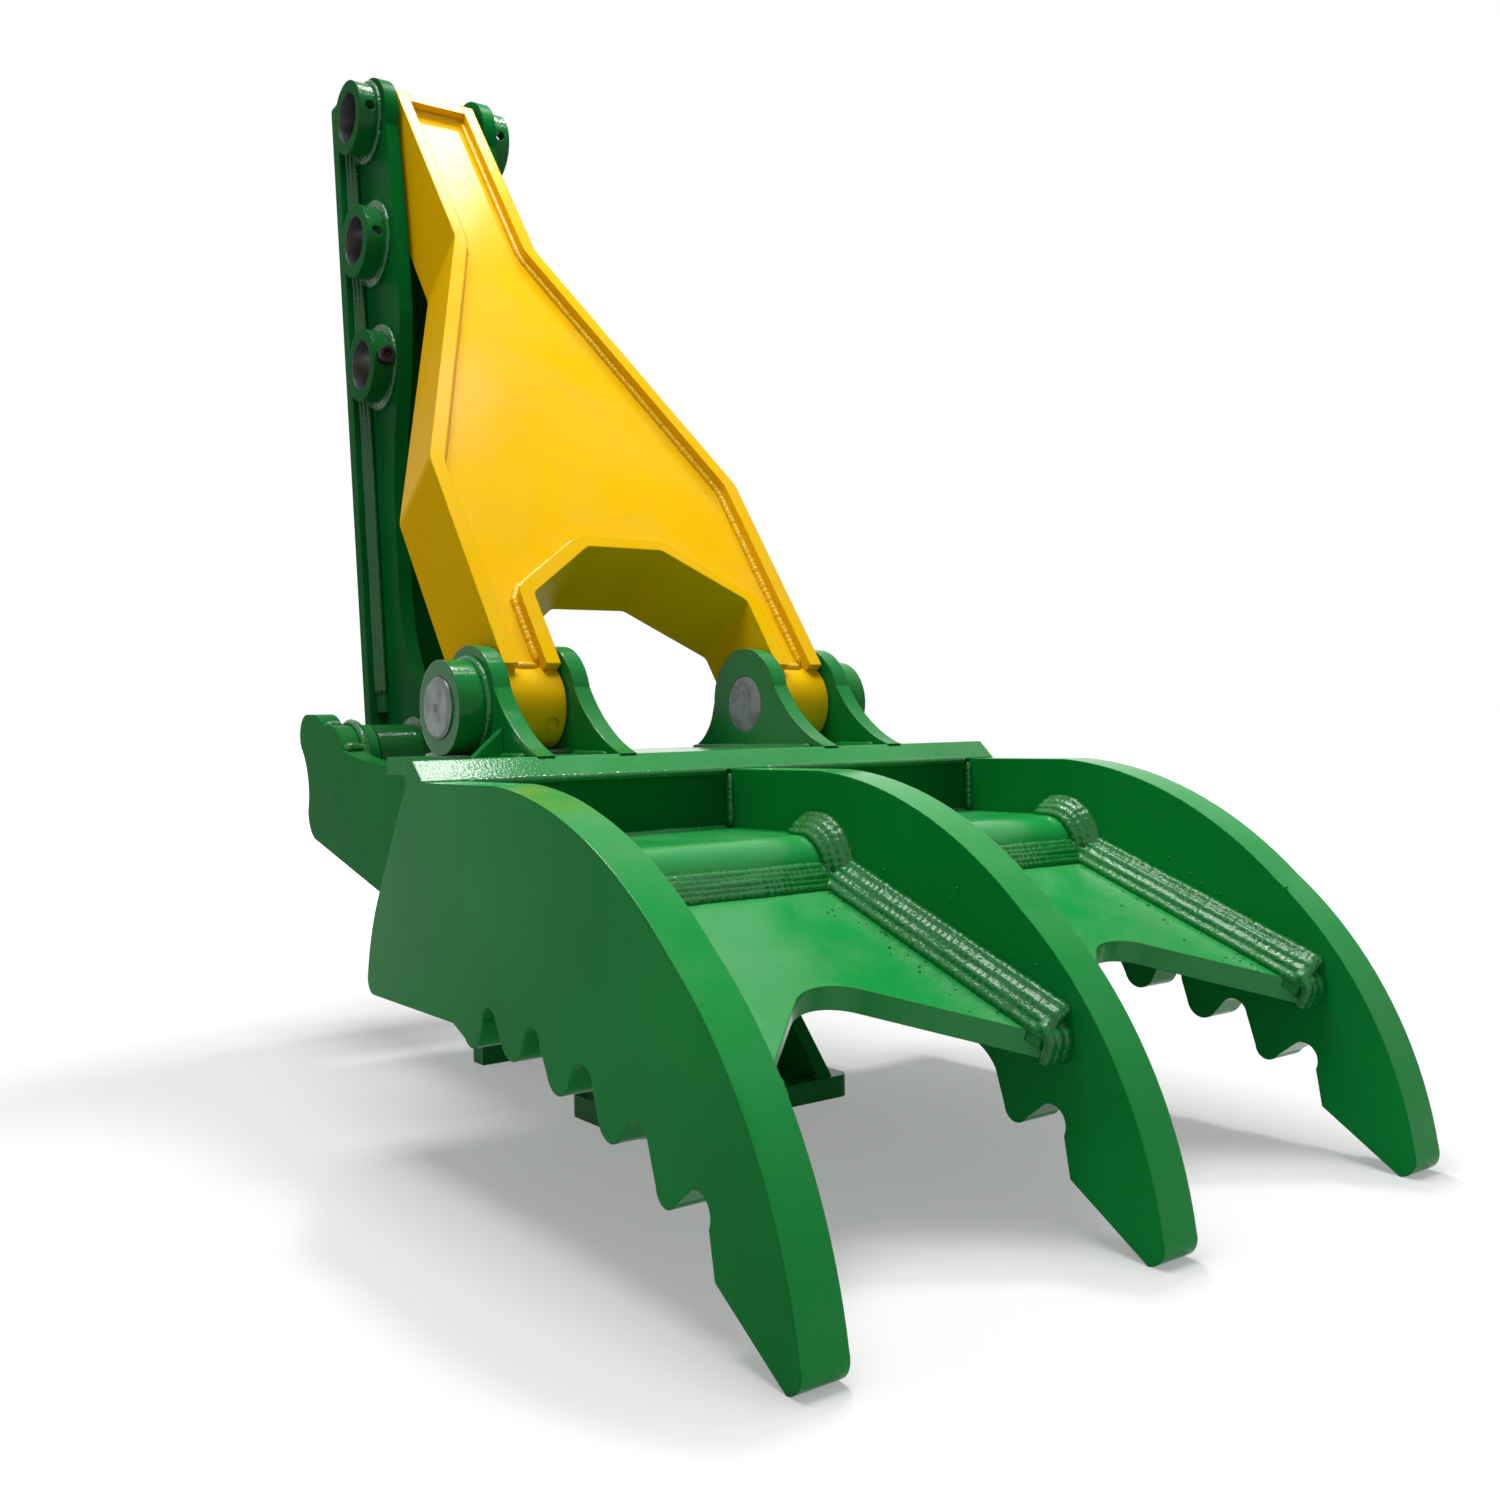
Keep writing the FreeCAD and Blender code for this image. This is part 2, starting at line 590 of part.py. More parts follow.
def arm_side():
    """Folded side wall: along the neck, out along the shoulder, down the leg."""
    end = arm_length()
    lean = math.atan2(SHOULDER_HALF - NECK_HALF, FOLD_2 - FOLD_1)
    step = ARM_T * math.tan(lean / 2)
    corners = [(-NECK_LIP, NECK_HALF, 0), (FOLD_1, NECK_HALF, 30), (FOLD_2, SHOULDER_HALF, 40),
               (end - 14, SHOULDER_HALF, 0), (end - 14, SHOULDER_HALF - ARM_T, 0),
               (FOLD_2 + step, SHOULDER_HALF - ARM_T, 24), (FOLD_1 + step, NECK_HALF - ARM_T, 46),
               (-NECK_LIP, NECK_HALF - ARM_T, 0)]
    flat = rounded(corners, "xy", -ARM_HALF_DEPTH).extrude(V(0, 0, 2 * ARM_HALF_DEPTH))
    depth = rounded([(-NECK_LIP, 0, 0), (-NECK_LIP, ARM_HALF_DEPTH, 12), (end + 20, ARM_HALF_DEPTH, 0),
                     (end + 20, -ARM_HALF_DEPTH, 0), (FOLD_1 * 0.6, -ARM_HALF_DEPTH, 0), (0, -EYE_R, 0),
                     (0, 0, 0)], "xz", 0)
    return flat.common(across(depth, SHOULDER_HALF + 1))


def arch_corners(inset):
    """Outline of the arch between the legs, pushed outwards by an inset."""
    end = arm_length() + 60
    slope = math.atan2(ARCH_SIDE - ARCH_TOP, LEG_IN - ARCH_TOP_HALF)
    side = inset * math.tan((math.pi / 2 - slope) / 2)
    top = inset * math.tan(slope / 2)
    return [(end, LEG_IN + inset, 0), (ARCH_SIDE - side, LEG_IN + inset, 10 + inset),
            (ARCH_TOP - inset, ARCH_TOP_HALF + top, 10 + inset),
            (ARCH_TOP - inset, -ARCH_TOP_HALF - top, 10 + inset),
            (ARCH_SIDE - side, -LEG_IN - inset, 10 + inset), (end, -LEG_IN - inset, 0)]


def arch_space(inset, depth):
    return rounded(arch_corners(inset), "xy", -depth).extrude(V(0, 0, 2 * depth))


def arm_face(n0, n1):
    """Front or rear plate, set in between the side walls and the arch plate."""
    end = arm_length()
    lean = math.atan2(SHOULDER_HALF - NECK_HALF, FOLD_2 - FOLD_1)
    step = ARM_T * math.tan(lean / 2)
    corners = [(0, NECK_HALF - ARM_T, 0), (FOLD_1 + step, NECK_HALF - ARM_T, 46),
               (FOLD_2 + step, SHOULDER_HALF - ARM_T, 24), (end - 14, SHOULDER_HALF - ARM_T, 0),
               (end - 14, -SHOULDER_HALF + ARM_T, 0), (FOLD_2 + step, -SHOULDER_HALF + ARM_T, 24),
               (FOLD_1 + step, -NECK_HALF + ARM_T, 46), (0, -NECK_HALF + ARM_T, 0)]
    body = rounded(corners, "xy", n0).extrude(V(0, 0, n1 - n0))
    body = body.cut(arch_space(ARM_T, 100))
    return arm_frame(cut_ends(body))


def arm_sides():
    return [arm_frame(cut_ends(arm_side())), arm_frame(cut_ends(mirrored(arm_side())))]


def arch_plate():
    end = arm_length()
    body = arch_space(ARM_T, ARM_HALF_DEPTH).cut(arch_space(0, 100))
    keep = Part.makeBox(end - 14 - FOLD_2, 2 * (LEG_IN + ARM_T), 3 * ARM_HALF_DEPTH,
                        V(FOLD_2, -LEG_IN - ARM_T, -1.5 * ARM_HALF_DEPTH))
    return arm_frame(cut_ends(body.common(keep)))


def arm_top_strip():
    """Cross strip over the eye that closes the recess of the front plate, flush with the rims."""
    half = NECK_HALF - ARM_T
    body = Part.makeBox(ARM_T, 2 * half, RIM, V(-2, -half, ARM_HALF_DEPTH - RIM))
    return arm_frame(cut_ends(body))


def arm_eye():
    return arm_frame(tube(0, 0, EYE_R, PIN_R + RUN_CLEARANCE + BUSH_WALL, -NECK_HALF, NECK_HALF))


def arm_eye_bush():
    return arm_frame(tube(0, 0, PIN_R + RUN_CLEARANCE + BUSH_WALL, PIN_R + RUN_CLEARANCE, -NECK_HALF, NECK_HALF))


GREASE_ANGLE = 60.0


def leg_barrel():
    """Barrel with a sunk grease point low on its front."""
    end = arm_length()
    body = tube(end, 0, BARREL_R, PIN_R + RUN_CLEARANCE + BUSH_WALL, LEG_IN, LEG_END)
    way = V(math.sin(math.radians(GREASE_ANGLE)), 0, math.cos(math.radians(GREASE_ANGLE)))
    sink = Part.makeCylinder(7.0, BARREL_R, V(end, LEG_IN + 14, 0) + way * (BARREL_R - 3.5), way)
    return body.cut(sink)


def leg_bush():
    return tube(arm_length(), 0, PIN_R + RUN_CLEARANCE + BUSH_WALL, PIN_R + RUN_CLEARANCE,
                LEG_IN, LEG_END)


def adjusting_pin():
    x, _, z = eye_point()
    return rod(x, z, PIN_R, -NECK_HALF, NECK_HALF)


def nodes():
    shelf_right = mirrored(shelf())
    out = {
        "tine_left": tine(TINE_PITCH, OTHER_TEETH),
        "tine_centre": tine(0.0, PLAIN_EDGE),
        "tine_right": tine(-TINE_PITCH, OTHER_TEETH),
        "deck_plate": deck(),
        "bay_front_plates": pair(bay_front_plate()),
        "shelf_left": shelf(),
        "shelf_right": shelf_right,
        "web_left": web().cut(shelf()),
        "web_right": mirrored(web().cut(shelf())),
        "web_welds": group([b for s in web_welds() for b in (s, mirrored(s))]),
        "box_bottom_plates": pair(bottom_plate()),
        "box_post_plates": pair(shelf_post()),
        "box_rear_plates": group([s for r in rear_plates() for s in (r, mirrored(r))]),
        "hinge_cheek_left": cheek(),
        "hinge_cheek_right": mirrored(cheek()),
        "hinge_boss_left": hinge_boss(),
        "hinge_boss_right": mirrored(hinge_boss()),
        "belly_plate": belly_plate(),
        "pivot_pin": pivot_pin(),
        "pivot_pin_screws": set_screws(PIVOT, HINGE_SCREW_Y, V(0, 0, -1)),
        "inner_ear_left": ear(INNER_EAR),
        "inner_ear_right": mirrored(ear(INNER_EAR)),
        "outer_ear_left": ear(OUTER_EAR),
        "outer_ear_right": mirrored(ear(OUTER_EAR)),
        "ear_boss_left": ear_boss(),
        "ear_boss_right": mirrored(ear_boss()),
        "ear_gussets": pair(ear_gusset()),
        "ear_pin_left": ear_pin(),
        "ear_pin_right": mirrored(ear_pin()),
        "ear_pin_screws": set_screws(EAR, EAR_BOSS_OUT - SCREW_IN, V(-1, 0, 0)),
        "front_foot_pad": front_foot(),
        "front_foot_post": front_post(),
        "front_foot_gussets": front_foot_gussets(),
        "rear_foot_plate": rear_foot(),
        "rear_foot_gussets": rear_foot_gussets(),
        "mount_plate": mount_plate(),
        "rail_left": rail(),
        "rail_right": mirrored(rail()),
        "rail_bosses_left": group([rail_boss(w) for w in hole_heights()]),
        "rail_bosses_right": mirrored(group([rail_boss(w) for w in hole_heights()])),
        "rail_welds": rail_welds(),
        "lock_bolt": lock_bolt(),
        "base_barrel": base_barrel(),
        "base_bushes": base_bushes(),
        "base_tie_plate": base_tie_plate(),
        "arm_front_plate": arm_face(ARM_HALF_DEPTH - RIM - ARM_T, ARM_HALF_DEPTH - RIM),
        "arm_rear_plate": arm_face(-ARM_HALF_DEPTH + RIM, -ARM_HALF_DEPTH + RIM + ARM_T),
        "arm_side_left": arm_sides()[0],
        "arm_side_right": arm_sides()[1],
        "arm_arch_plate": arch_plate(),
        "arm_top_strip": arm_top_strip(),
        "arm_eye": arm_eye(),
        "arm_eye_bush": arm_eye_bush(),
        "leg_barrels": arm_frame(pair(leg_barrel())),
        "leg_bushes": arm_frame(pair(leg_bush())),
        "adjusting_pin": adjusting_pin(),
    }
    return out


# The origin is moved to the middle of the footprint's length before the parts are written
MIDDLE_X = -6.6


def main():
    os.makedirs("parts", exist_ok=True)
    for name, shape in nodes().items():
        shape = shape.copy()
        shape.translate(V(-MIDDLE_X, 0, 0))
        box = shape.BoundBox
        print("%-22s solids %2d  volume %9.0f  x %7.1f..%7.1f  y %6.1f..%6.1f  z %6.1f..%6.1f  %s"
              % (name, len(shape.Solids), shape.Volume, box.XMin, box.XMax, box.YMin, box.YMax,
                 box.ZMin, box.ZMax, shape.isValid()))
        shape.exportStep("parts/%s.step" % name)


main()
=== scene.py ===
# %% [markdown]
# A mechanical excavator thumb: three hooked tines on a painted box, a slim bracket that is welded under
# the machine's stick, and a forked yellow arm that holds the thumb at its set angle. The solids come from
# the CAD frame. This lesson dresses them: paint, bare pins, weld beads, floor, light and camera.

import json
import math
import random

import bmesh
import bpy
from mathutils import Matrix, Vector

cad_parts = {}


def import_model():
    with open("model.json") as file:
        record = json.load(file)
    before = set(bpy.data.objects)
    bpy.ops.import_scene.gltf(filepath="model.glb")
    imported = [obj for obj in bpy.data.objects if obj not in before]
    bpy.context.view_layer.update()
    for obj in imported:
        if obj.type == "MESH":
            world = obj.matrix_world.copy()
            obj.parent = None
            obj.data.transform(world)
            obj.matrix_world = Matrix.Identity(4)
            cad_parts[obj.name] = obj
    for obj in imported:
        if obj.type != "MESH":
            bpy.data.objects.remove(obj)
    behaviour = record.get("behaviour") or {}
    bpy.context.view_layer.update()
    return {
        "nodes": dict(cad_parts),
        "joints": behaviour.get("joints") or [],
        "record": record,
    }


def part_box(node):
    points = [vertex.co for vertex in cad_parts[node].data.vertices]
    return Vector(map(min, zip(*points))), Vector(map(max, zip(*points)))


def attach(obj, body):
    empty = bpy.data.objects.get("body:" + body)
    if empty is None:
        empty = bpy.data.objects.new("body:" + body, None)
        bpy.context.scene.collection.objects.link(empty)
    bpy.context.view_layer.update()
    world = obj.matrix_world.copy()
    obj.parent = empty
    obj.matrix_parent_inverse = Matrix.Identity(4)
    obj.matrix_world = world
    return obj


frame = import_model()
nodes = frame["nodes"]
scene = bpy.context.scene
MM = 0.001
random.seed(7)


# %% [markdown]
# A weld bead has to lie exactly where two plates meet. Its main points are read from the frame, where a
# joint or the box of a piece gives them: the pivot, the pin through the ears and the eye at the top of
# the arm. The sizes that the frame doesn't give, such as the lean of the bracket, are repeated from the
# CAD part where they are used.

# %% Driving points
joints = {j["name"]: j for j in frame["joints"]}
pivot = Vector(joints["thumb_pivot"]["pos_m"])
ear_pin = Vector(joints["arm_pivot"]["pos_m"])
eye_low, eye_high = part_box("adjusting_pin")
eye = (Vector(eye_low) + Vector(eye_high)) / 2
arm_length = (ear_pin - eye).length
print("arm length", round(arm_length, 4), "pivot", tuple(round(v, 4) for v in pivot))


# %% [markdown]
# Thumb, bracket and arm lean differently, and each is easiest to measure in its own directions: the thumb
# along the plain axes, the bracket along its weld face, the arm down its middle line. Three helpers turn
# such millimetres into points of the scene, so every bead below can be read like a drawing.

# %% Points on the thumb, the bracket and the arm
AHEAD = Vector((1, 0, 0))
SIDEWAYS = Vector((0, 1, 0))
UP = Vector((0, 0, 1))
CAD_SHIFT = 6.6
LEAN = math.radians(4.2)
MOUNT_TO_PIVOT = 109.3
bracket_up = Vector((-math.sin(LEAN), 0, math.cos(LEAN)))
bracket_ahead = Vector((math.cos(LEAN), 0, math.sin(LEAN)))
mount_foot = pivot - bracket_ahead * MOUNT_TO_PIVOT * MM
arm_way = (ear_pin - eye).normalized()
arm_front = Vector((-arm_way.z, 0, arm_way.x))


def on_thumb(x, y, z):
    """A point in millimetres of the CAD drawing, which the frame holds moved forward to its middle."""
    return Vector((x + CAD_SHIFT, y, z)) * MM


def on_bracket(u, y, w):
    """A point in millimetres: u forward of the weld face, y sideways, w up from the pivot."""
    return mount_foot + bracket_ahead * u * MM + SIDEWAYS * y * MM + bracket_up * w * MM


def on_arm(s, y, n):
    """A point in millimetres: s down the arm, y sideways, n out of its front."""
    return eye + arm_way * s * MM + SIDEWAYS * y * MM + arm_front * n * MM


print("foot of the weld face", tuple(round(v, 4) for v in on_bracket(0, 0, 0)))


# %% [markdown]
# Every finish below is a small tree of nodes. A node is added by type and its inputs are set in one line,
# by name or by number, so a finish reads as a short recipe and not as a page of links.

# %% Add nodes and groups
def feed(tree, socket, value):
    """Link a socket to another node's output, or write a plain value into it."""
    if isinstance(value, bpy.types.NodeSocket):
        tree.links.new(value, socket)
    else:
        socket.default_value = value


def add(tree, kind, **inputs):
    """Add a node; an input is called by its name, or by its number as _0, _1 and so on."""
    node = tree.nodes.new(kind)
    for name, value in inputs.items():
        key = name.replace("_", " ")
        socket = node.inputs[key] if key in node.inputs else node.inputs[int(key[1:])]
        feed(tree, socket, value)
    return node


def group(name, inputs, outputs):
    """Start a shared effect: a node group with named sockets."""
    tree = bpy.data.node_groups.new(name, "ShaderNodeTree")
    for title, value in inputs.items():
        kind = "NodeSocketColor" if isinstance(value, tuple) else "NodeSocketFloat"
        socket = tree.interface.new_socket(title, in_out="INPUT", socket_type=kind)
        socket.default_value = value
    for title, kind in outputs.items():
        tree.interface.new_socket(title, in_out="OUTPUT", socket_type=kind)
    start = tree.nodes.new("NodeGroupInput")
    end = tree.nodes.new("NodeGroupOutput")
    return tree, start.outputs, end.inputs


def place(tree, group_tree, **inputs):
    """Use a shared effect in a material and set its sockets."""
    node = tree.nodes.new("ShaderNodeGroup")
    node.node_tree = group_tree
    for name, value in inputs.items():
        feed(tree, node.inputs[name], value)
    return node.outputs


print("node helpers ready")


# %% [markdown]
# Three nodes come back in nearly every recipe: a sum, a mix of two colours, and a ramp that stretches a
# soft noise into a mask with clear and covered places.

# %% Sums, mixes and ramps
def math_node(tree, operation, a, b=0.0, c=0.0, clamp=False):
    node = add(tree, "ShaderNodeMath", _0=a, _1=b, _2=c)
    node.operation = operation
    node.use_clamp = clamp
    return node.outputs[0]


def mix_colour(tree, factor, a, b):
    node = tree.nodes.new("ShaderNodeMix")
    node.data_type = "RGBA"
    for socket, value in ((node.inputs[0], factor), (node.inputs[6], a), (node.inputs[7], b)):
        feed(tree, socket, value)
    return node.outputs[2]


def ramp(tree, value, low, high, start=0.0):
    """A value that climbs from start to 1 while its input goes from low to high."""
    return add(tree, "ShaderNodeMapRange", _0=value, _1=low, _2=high, _3=start).outputs[0]


def object_point(tree):
    """Places are taken on the object itself, so the marks stay on a piece when its joint moves."""
    return add(tree, "ShaderNodeTexCoord").outputs["Object"]


print("sums, mixes and ramps ready")


# %% [markdown]
# Sprayed machine paint is never one flat colour: the coat is thicker in some places, and slow clouds of a
# slightly deeper tone lie in it. Close up it has a fine orange-peel skin. Both are groups, because every
# paint carries them.

# %% Clouds and orange peel
def make_clouds():
    sockets = {"Colour": (0.5, 0.5, 0.5, 1), "Deep": (0.4, 0.4, 0.4, 1), "Scale": 5.0}
    tree, at, out = group("paint_clouds", sockets, {"Colour": "NodeSocketColor"})
    slow = add(tree, "ShaderNodeTexNoise", Vector=object_point(tree), Scale=at["Scale"], Detail=3.0,
               Roughness=0.5)
    mask = ramp(tree, slow.outputs["Fac"], low=0.35, high=0.7)
    tree.links.new(mix_colour(tree, mask, at["Colour"], at["Deep"]), out["Colour"])
    return tree


def make_peel():
    sockets = {"Fine": 420.0, "Coarse": 60.0, "Share": 0.35}
    tree, at, out = group("orange_peel", sockets, {"Height": "NodeSocketFloat"})
    where = object_point(tree)
    fine = add(tree, "ShaderNodeTexNoise", Vector=where, Scale=at["Fine"], Detail=2.0)
    coarse = add(tree, "ShaderNodeTexNoise", Vector=where, Scale=at["Coarse"], Detail=2.0)
    part = math_node(tree, "MULTIPLY", coarse.outputs["Fac"], at["Share"])
    tree.links.new(math_node(tree, "ADD", fine.outputs["Fac"], part), out["Height"])
    return tree


clouds = make_clouds()
peel = make_peel()
print("paint effects:", clouds.name, peel.name)


# %% [markdown]
# A machine that waits in a hall gathers a little dust on what faces up, and its plate edges lose paint
# first. The dust mask multiplies the upward part of the surface with patches of noise. For the edges, a
# bevel node bends the surface near each edge, and where that bend differs from the true surface the noise
# may bite small chips out.

# %% Dust and chipped edges
def make_dust():
    tree, at, out = group("settled_dust", {"Amount": 0.3, "Scale": 14.0}, {"Mask": "NodeSocketFloat"})
    facing = add(tree, "ShaderNodeSeparateXYZ", Vector=add(tree, "ShaderNodeNewGeometry").outputs["Normal"])
    upward = ramp(tree, facing.outputs["Z"], low=0.2, high=0.95)
    patches = add(tree, "ShaderNodeTexNoise", Vector=object_point(tree), Scale=at["Scale"], Detail=6.0,
                  Roughness=0.65)
    spread = ramp(tree, patches.outputs["Fac"], low=0.4, high=0.75)
    both = math_node(tree, "MULTIPLY", upward, spread)
    tree.links.new(math_node(tree, "MULTIPLY", both, at["Amount"], clamp=True), out["Mask"])
    return tree


def make_chips():
    sockets = {"Width": 0.0012, "Amount": 0.5, "Scale": 90.0}
    tree, at, out = group("edge_chips", sockets, {"Mask": "NodeSocketFloat"})
    soft = add(tree, "ShaderNodeBevel", Radius=at["Width"])
    soft.samples = 4
    hard = add(tree, "ShaderNodeNewGeometry").outputs["Normal"]
    alike = add(tree, "ShaderNodeVectorMath", _0=soft.outputs[0], _1=hard)
    alike.operation = "DOT_PRODUCT"
    edge = ramp(tree, alike.outputs["Value"], low=0.995, high=0.86)
    spots = add(tree, "ShaderNodeTexNoise", Vector=object_point(tree), Scale=at["Scale"], Detail=5.0,
                Roughness=0.7)
    torn = ramp(tree, spots.outputs["Fac"], low=0.52, high=0.62)
    both = math_node(tree, "MULTIPLY", edge, torn)
    tree.links.new(math_node(tree, "MULTIPLY", both, at["Amount"], clamp=True), out["Mask"])
    return tree


dust = make_dust()
chips = make_chips()
print("shared effects:", [g.name for g in bpy.data.node_groups])


# %% [markdown]
# One recipe makes every paint: the clouded colour, chips and dust over it, the peel as a low bump, and a
# bevelled normal that rounds each edge as flame cutting and spraying do. The shine is the strength of the
# clear reflection. It is the main thing that tells the coats apart, because a rolled plate stays dull
# where a weld looks wet.

# %% Paint recipe
CHIP_WIDTH = 0.0014
EDGE_RADIUS = 0.0022
DUST_COLOUR = (0.45, 0.47, 0.38, 1)


def paint(name, colour, deep, thin, roughness, shine, peel_strength=0.14, skin_grain=380.0):
    material = bpy.data.materials.new(name)
    material.use_nodes = True
    tree = material.node_tree
    shader = tree.nodes["Principled BSDF"]
    base = place(tree, clouds, Colour=colour, Deep=deep, Scale=4.0)
    worn = place(tree, chips, Width=CHIP_WIDTH, Amount=0.30, Scale=70.0)
    dusty = place(tree, dust, Amount=0.10, Scale=12.0)
    coloured = mix_colour(tree, worn["Mask"], base["Colour"], thin)
    coloured = mix_colour(tree, dusty["Mask"], coloured, DUST_COLOUR)
    tree.links.new(coloured, shader.inputs["Base Color"])
    rough = math_node(tree, "MULTIPLY_ADD", dusty["Mask"], 0.6, roughness)
    tree.links.new(rough, shader.inputs["Roughness"])
    skin = place(tree, peel, Fine=skin_grain, Coarse=46.0, Share=0.6)
    edge = add(tree, "ShaderNodeBevel", Radius=EDGE_RADIUS)
    edge.samples = 6
    bump = add(tree, "ShaderNodeBump", Strength=peel_strength, Distance=0.0008, Height=skin["Height"],
               Normal=edge.outputs[0])
    tree.links.new(bump.outputs[0], shader.inputs["Normal"])
    shader.inputs["Specular IOR Level"].default_value = shine
    return material


print("paint recipe ready, edges rounded by", EDGE_RADIUS / MM, "mm")


# %% [markdown]
# The thumb is green. Each colour comes in three tones: the coat, its deeper clouds, and the thin coat
# that shows at a chip. The tines and cheeks are rolled plate with a dull sheen, the cut edges are glossier,
# and the webs and the deck lie flat and shine most. Three coats carry painted light: the tines' edges are
# lighter, the webs lighter and greyer as a painted reflection, and the ears and cheeks darker as painted
# shade.

# %% Green paints of the thumb
GREEN = (0.0040, 0.255, 0.041, 1)
GREEN_DEEP = (0.0030, 0.185, 0.030, 1)
GREEN_THIN = (0.020, 0.290, 0.080, 1)
FULL_COAT = (GREEN, GREEN_DEEP, GREEN_THIN)
# Painted shade: a darker copy of the coat for the ears, the cheeks and the thumb's welds.
SHADED_THUMB_COAT = ((0.0035, 0.195, 0.031, 1), (0.0025, 0.145, 0.023, 1), GREEN_THIN)
# Painted reflection: a lighter, greyer coat for the webs, for the bright ceiling mirrored in them.
WEB_REFLECTION_COAT = ((0.008, 0.285, 0.055, 1), GREEN, GREEN_THIN)
# Painted light: a lighter coat on all the tines' cut edges, as the edges facing the lamps are lit.
LIT_EDGE_COAT = ((0.003, 0.285, 0.046, 1), GREEN, GREEN_THIN)
green = paint("green_machine_paint", *FULL_COAT, roughness=0.17, shine=0.10)
green_satin = paint("green_paint_on_rolled_plate", *FULL_COAT, roughness=0.30, shine=0.03)
green_gloss = paint("green_paint_on_deck", *FULL_COAT, roughness=0.12, shine=0.32)
green_ear = paint("green_paint_on_ears", *SHADED_THUMB_COAT, roughness=0.14, shine=0.12)
green_cheek = paint("green_paint_on_hinge_cheeks", *SHADED_THUMB_COAT, roughness=0.30, shine=0.008)
green_web = paint("green_paint_on_webs", *WEB_REFLECTION_COAT, roughness=0.20, shine=0.28, peel_strength=0.2)
green_edge = paint("green_paint_on_cut_edges", *LIT_EDGE_COAT, roughness=0.16, shine=0.11, peel_strength=0.2)
print("green paints:", green.name, green_satin.name, green_gloss.name, green_ear.name, green_cheek.name,
      green_web.name, green_edge.name)


# %% [markdown]
# The bracket's coat is darker than the thumb's, which is painted shade for the dark surroundings that it
# mirrors and the little light that reaches it. Its plates reflect almost nothing at the low angle from which
# they are seen, while the round bosses carry clear highlights, so the two get different coats.

# %% Dark green paints of the bracket
# Painted shade: a darker coat for the whole bracket, its welds included.
SHADED_BRACKET_COAT = ((0.0030, 0.135, 0.024, 1), (0.0020, 0.090, 0.015, 1), (0.012, 0.170, 0.045, 1))
bracket_satin = paint("shaded_green_on_bracket_plates", *SHADED_BRACKET_COAT, roughness=0.26, shine=0.006)
bracket_gloss = paint("shaded_green_on_bracket_bosses", *SHADED_BRACKET_COAT, roughness=0.10, shine=0.10,
                      peel_strength=0.3)
print("bracket paints:", bracket_satin.name, bracket_gloss.name)


# %% [markdown]
# The arm is a warm yellow. Its front plate and rims catch the ceiling light, and its side walls and the
# arch stay dull, so they fall off into olive where they turn away from the light.

# %% Yellow paints of the arm
YELLOW_COAT = ((0.76, 0.445, 0.0015, 1), (0.73, 0.410, 0.0015, 1), (0.64, 0.38, 0.04, 1))
yellow = paint("yellow_machine_paint", *YELLOW_COAT, roughness=0.14, shine=0.018, peel_strength=0.10)
yellow_satin = paint("yellow_paint_on_rolled_plate", *YELLOW_COAT, roughness=0.30, shine=0.002)
print("yellow paints:", yellow.name, yellow_satin.name)


# %% [markdown]
# Paint runs together over the ripples of a weld and dries there as a thick wet-looking skin. The weld
# paints take the tones of their neighbours, the green ones the darker coats of painted shade, with a
# coarser peel, a stronger bump and much more shine, which makes them sparkle.

# %% Paints over the welds
WELD_GRAIN = 260.0
green_weld = paint("green_painted_weld", *SHADED_THUMB_COAT, roughness=0.08, shine=0.34, peel_strength=0.9,
                   skin_grain=WELD_GRAIN)
bracket_weld = paint("shaded_green_painted_weld", *SHADED_BRACKET_COAT, roughness=0.08, shine=0.32, peel_strength=0.9,
                     skin_grain=WELD_GRAIN)
yellow_weld = paint("yellow_painted_weld", *YELLOW_COAT, roughness=0.14, shine=0.25, peel_strength=0.5,
                    skin_grain=WELD_GRAIN)
print("weld paints:", green_weld.name, bracket_weld.name, yellow_weld.name)


# %% [markdown]
# Bare pins are turned steel: a dull grey sheen with fine rings round the pin's own axis, which a noise
# stretched along that axis gives. Bushes are darker and greasy, the parked screw is blackened, and the
# small screws are plated, a paler grey. All of them share one group of stains.

# %% Bare metals
STAIN_TONE = 0.55


def make_stains():
    results = {"Mask": "NodeSocketFloat", "Height": "NodeSocketFloat"}
    tree, at, out = group("steel_stains", {"Scale": 55.0}, results)
    spots = add(tree, "ShaderNodeTexNoise", Vector=object_point(tree), Scale=at["Scale"], Detail=5.0,
                Roughness=0.6)
    tree.links.new(ramp(tree, spots.outputs["Fac"], low=0.45, high=0.75), out["Mask"])
    tree.links.new(spots.outputs["Fac"], out["Height"])
    return tree


def turned_rings(tree, tightness):
    stretched = add(tree, "ShaderNodeMapping", Vector=object_point(tree), Scale=(1.0, tightness, 1.0))
    return add(tree, "ShaderNodeTexNoise", Vector=stretched.outputs[0], Scale=60.0, Detail=2.0).outputs["Fac"]


def steel(name, colour, roughness, tightness=0.0):
    material = bpy.data.materials.new(name)
    material.use_nodes = True
    tree = material.node_tree
    shader = tree.nodes["Principled BSDF"]
    marks = place(tree, stains, Scale=55.0)
    dark = tuple(c * STAIN_TONE for c in colour[:3]) + (1,)
    tree.links.new(mix_colour(tree, marks["Mask"], colour, dark), shader.inputs["Base Color"])
    rough = math_node(tree, "MULTIPLY_ADD", marks["Mask"], 0.2, roughness)
    tree.links.new(rough, shader.inputs["Roughness"])
    shader.inputs["Metallic"].default_value = 1.0
    height = turned_rings(tree, tightness) if tightness else marks["Height"]
    edge = add(tree, "ShaderNodeBevel", Radius=0.0012)
    edge.samples = 4
    bump = add(tree, "ShaderNodeBump", Strength=0.25, Distance=0.0004, Height=height, Normal=edge.outputs[0])
    tree.links.new(bump.outputs[0], shader.inputs["Normal"])
    return material


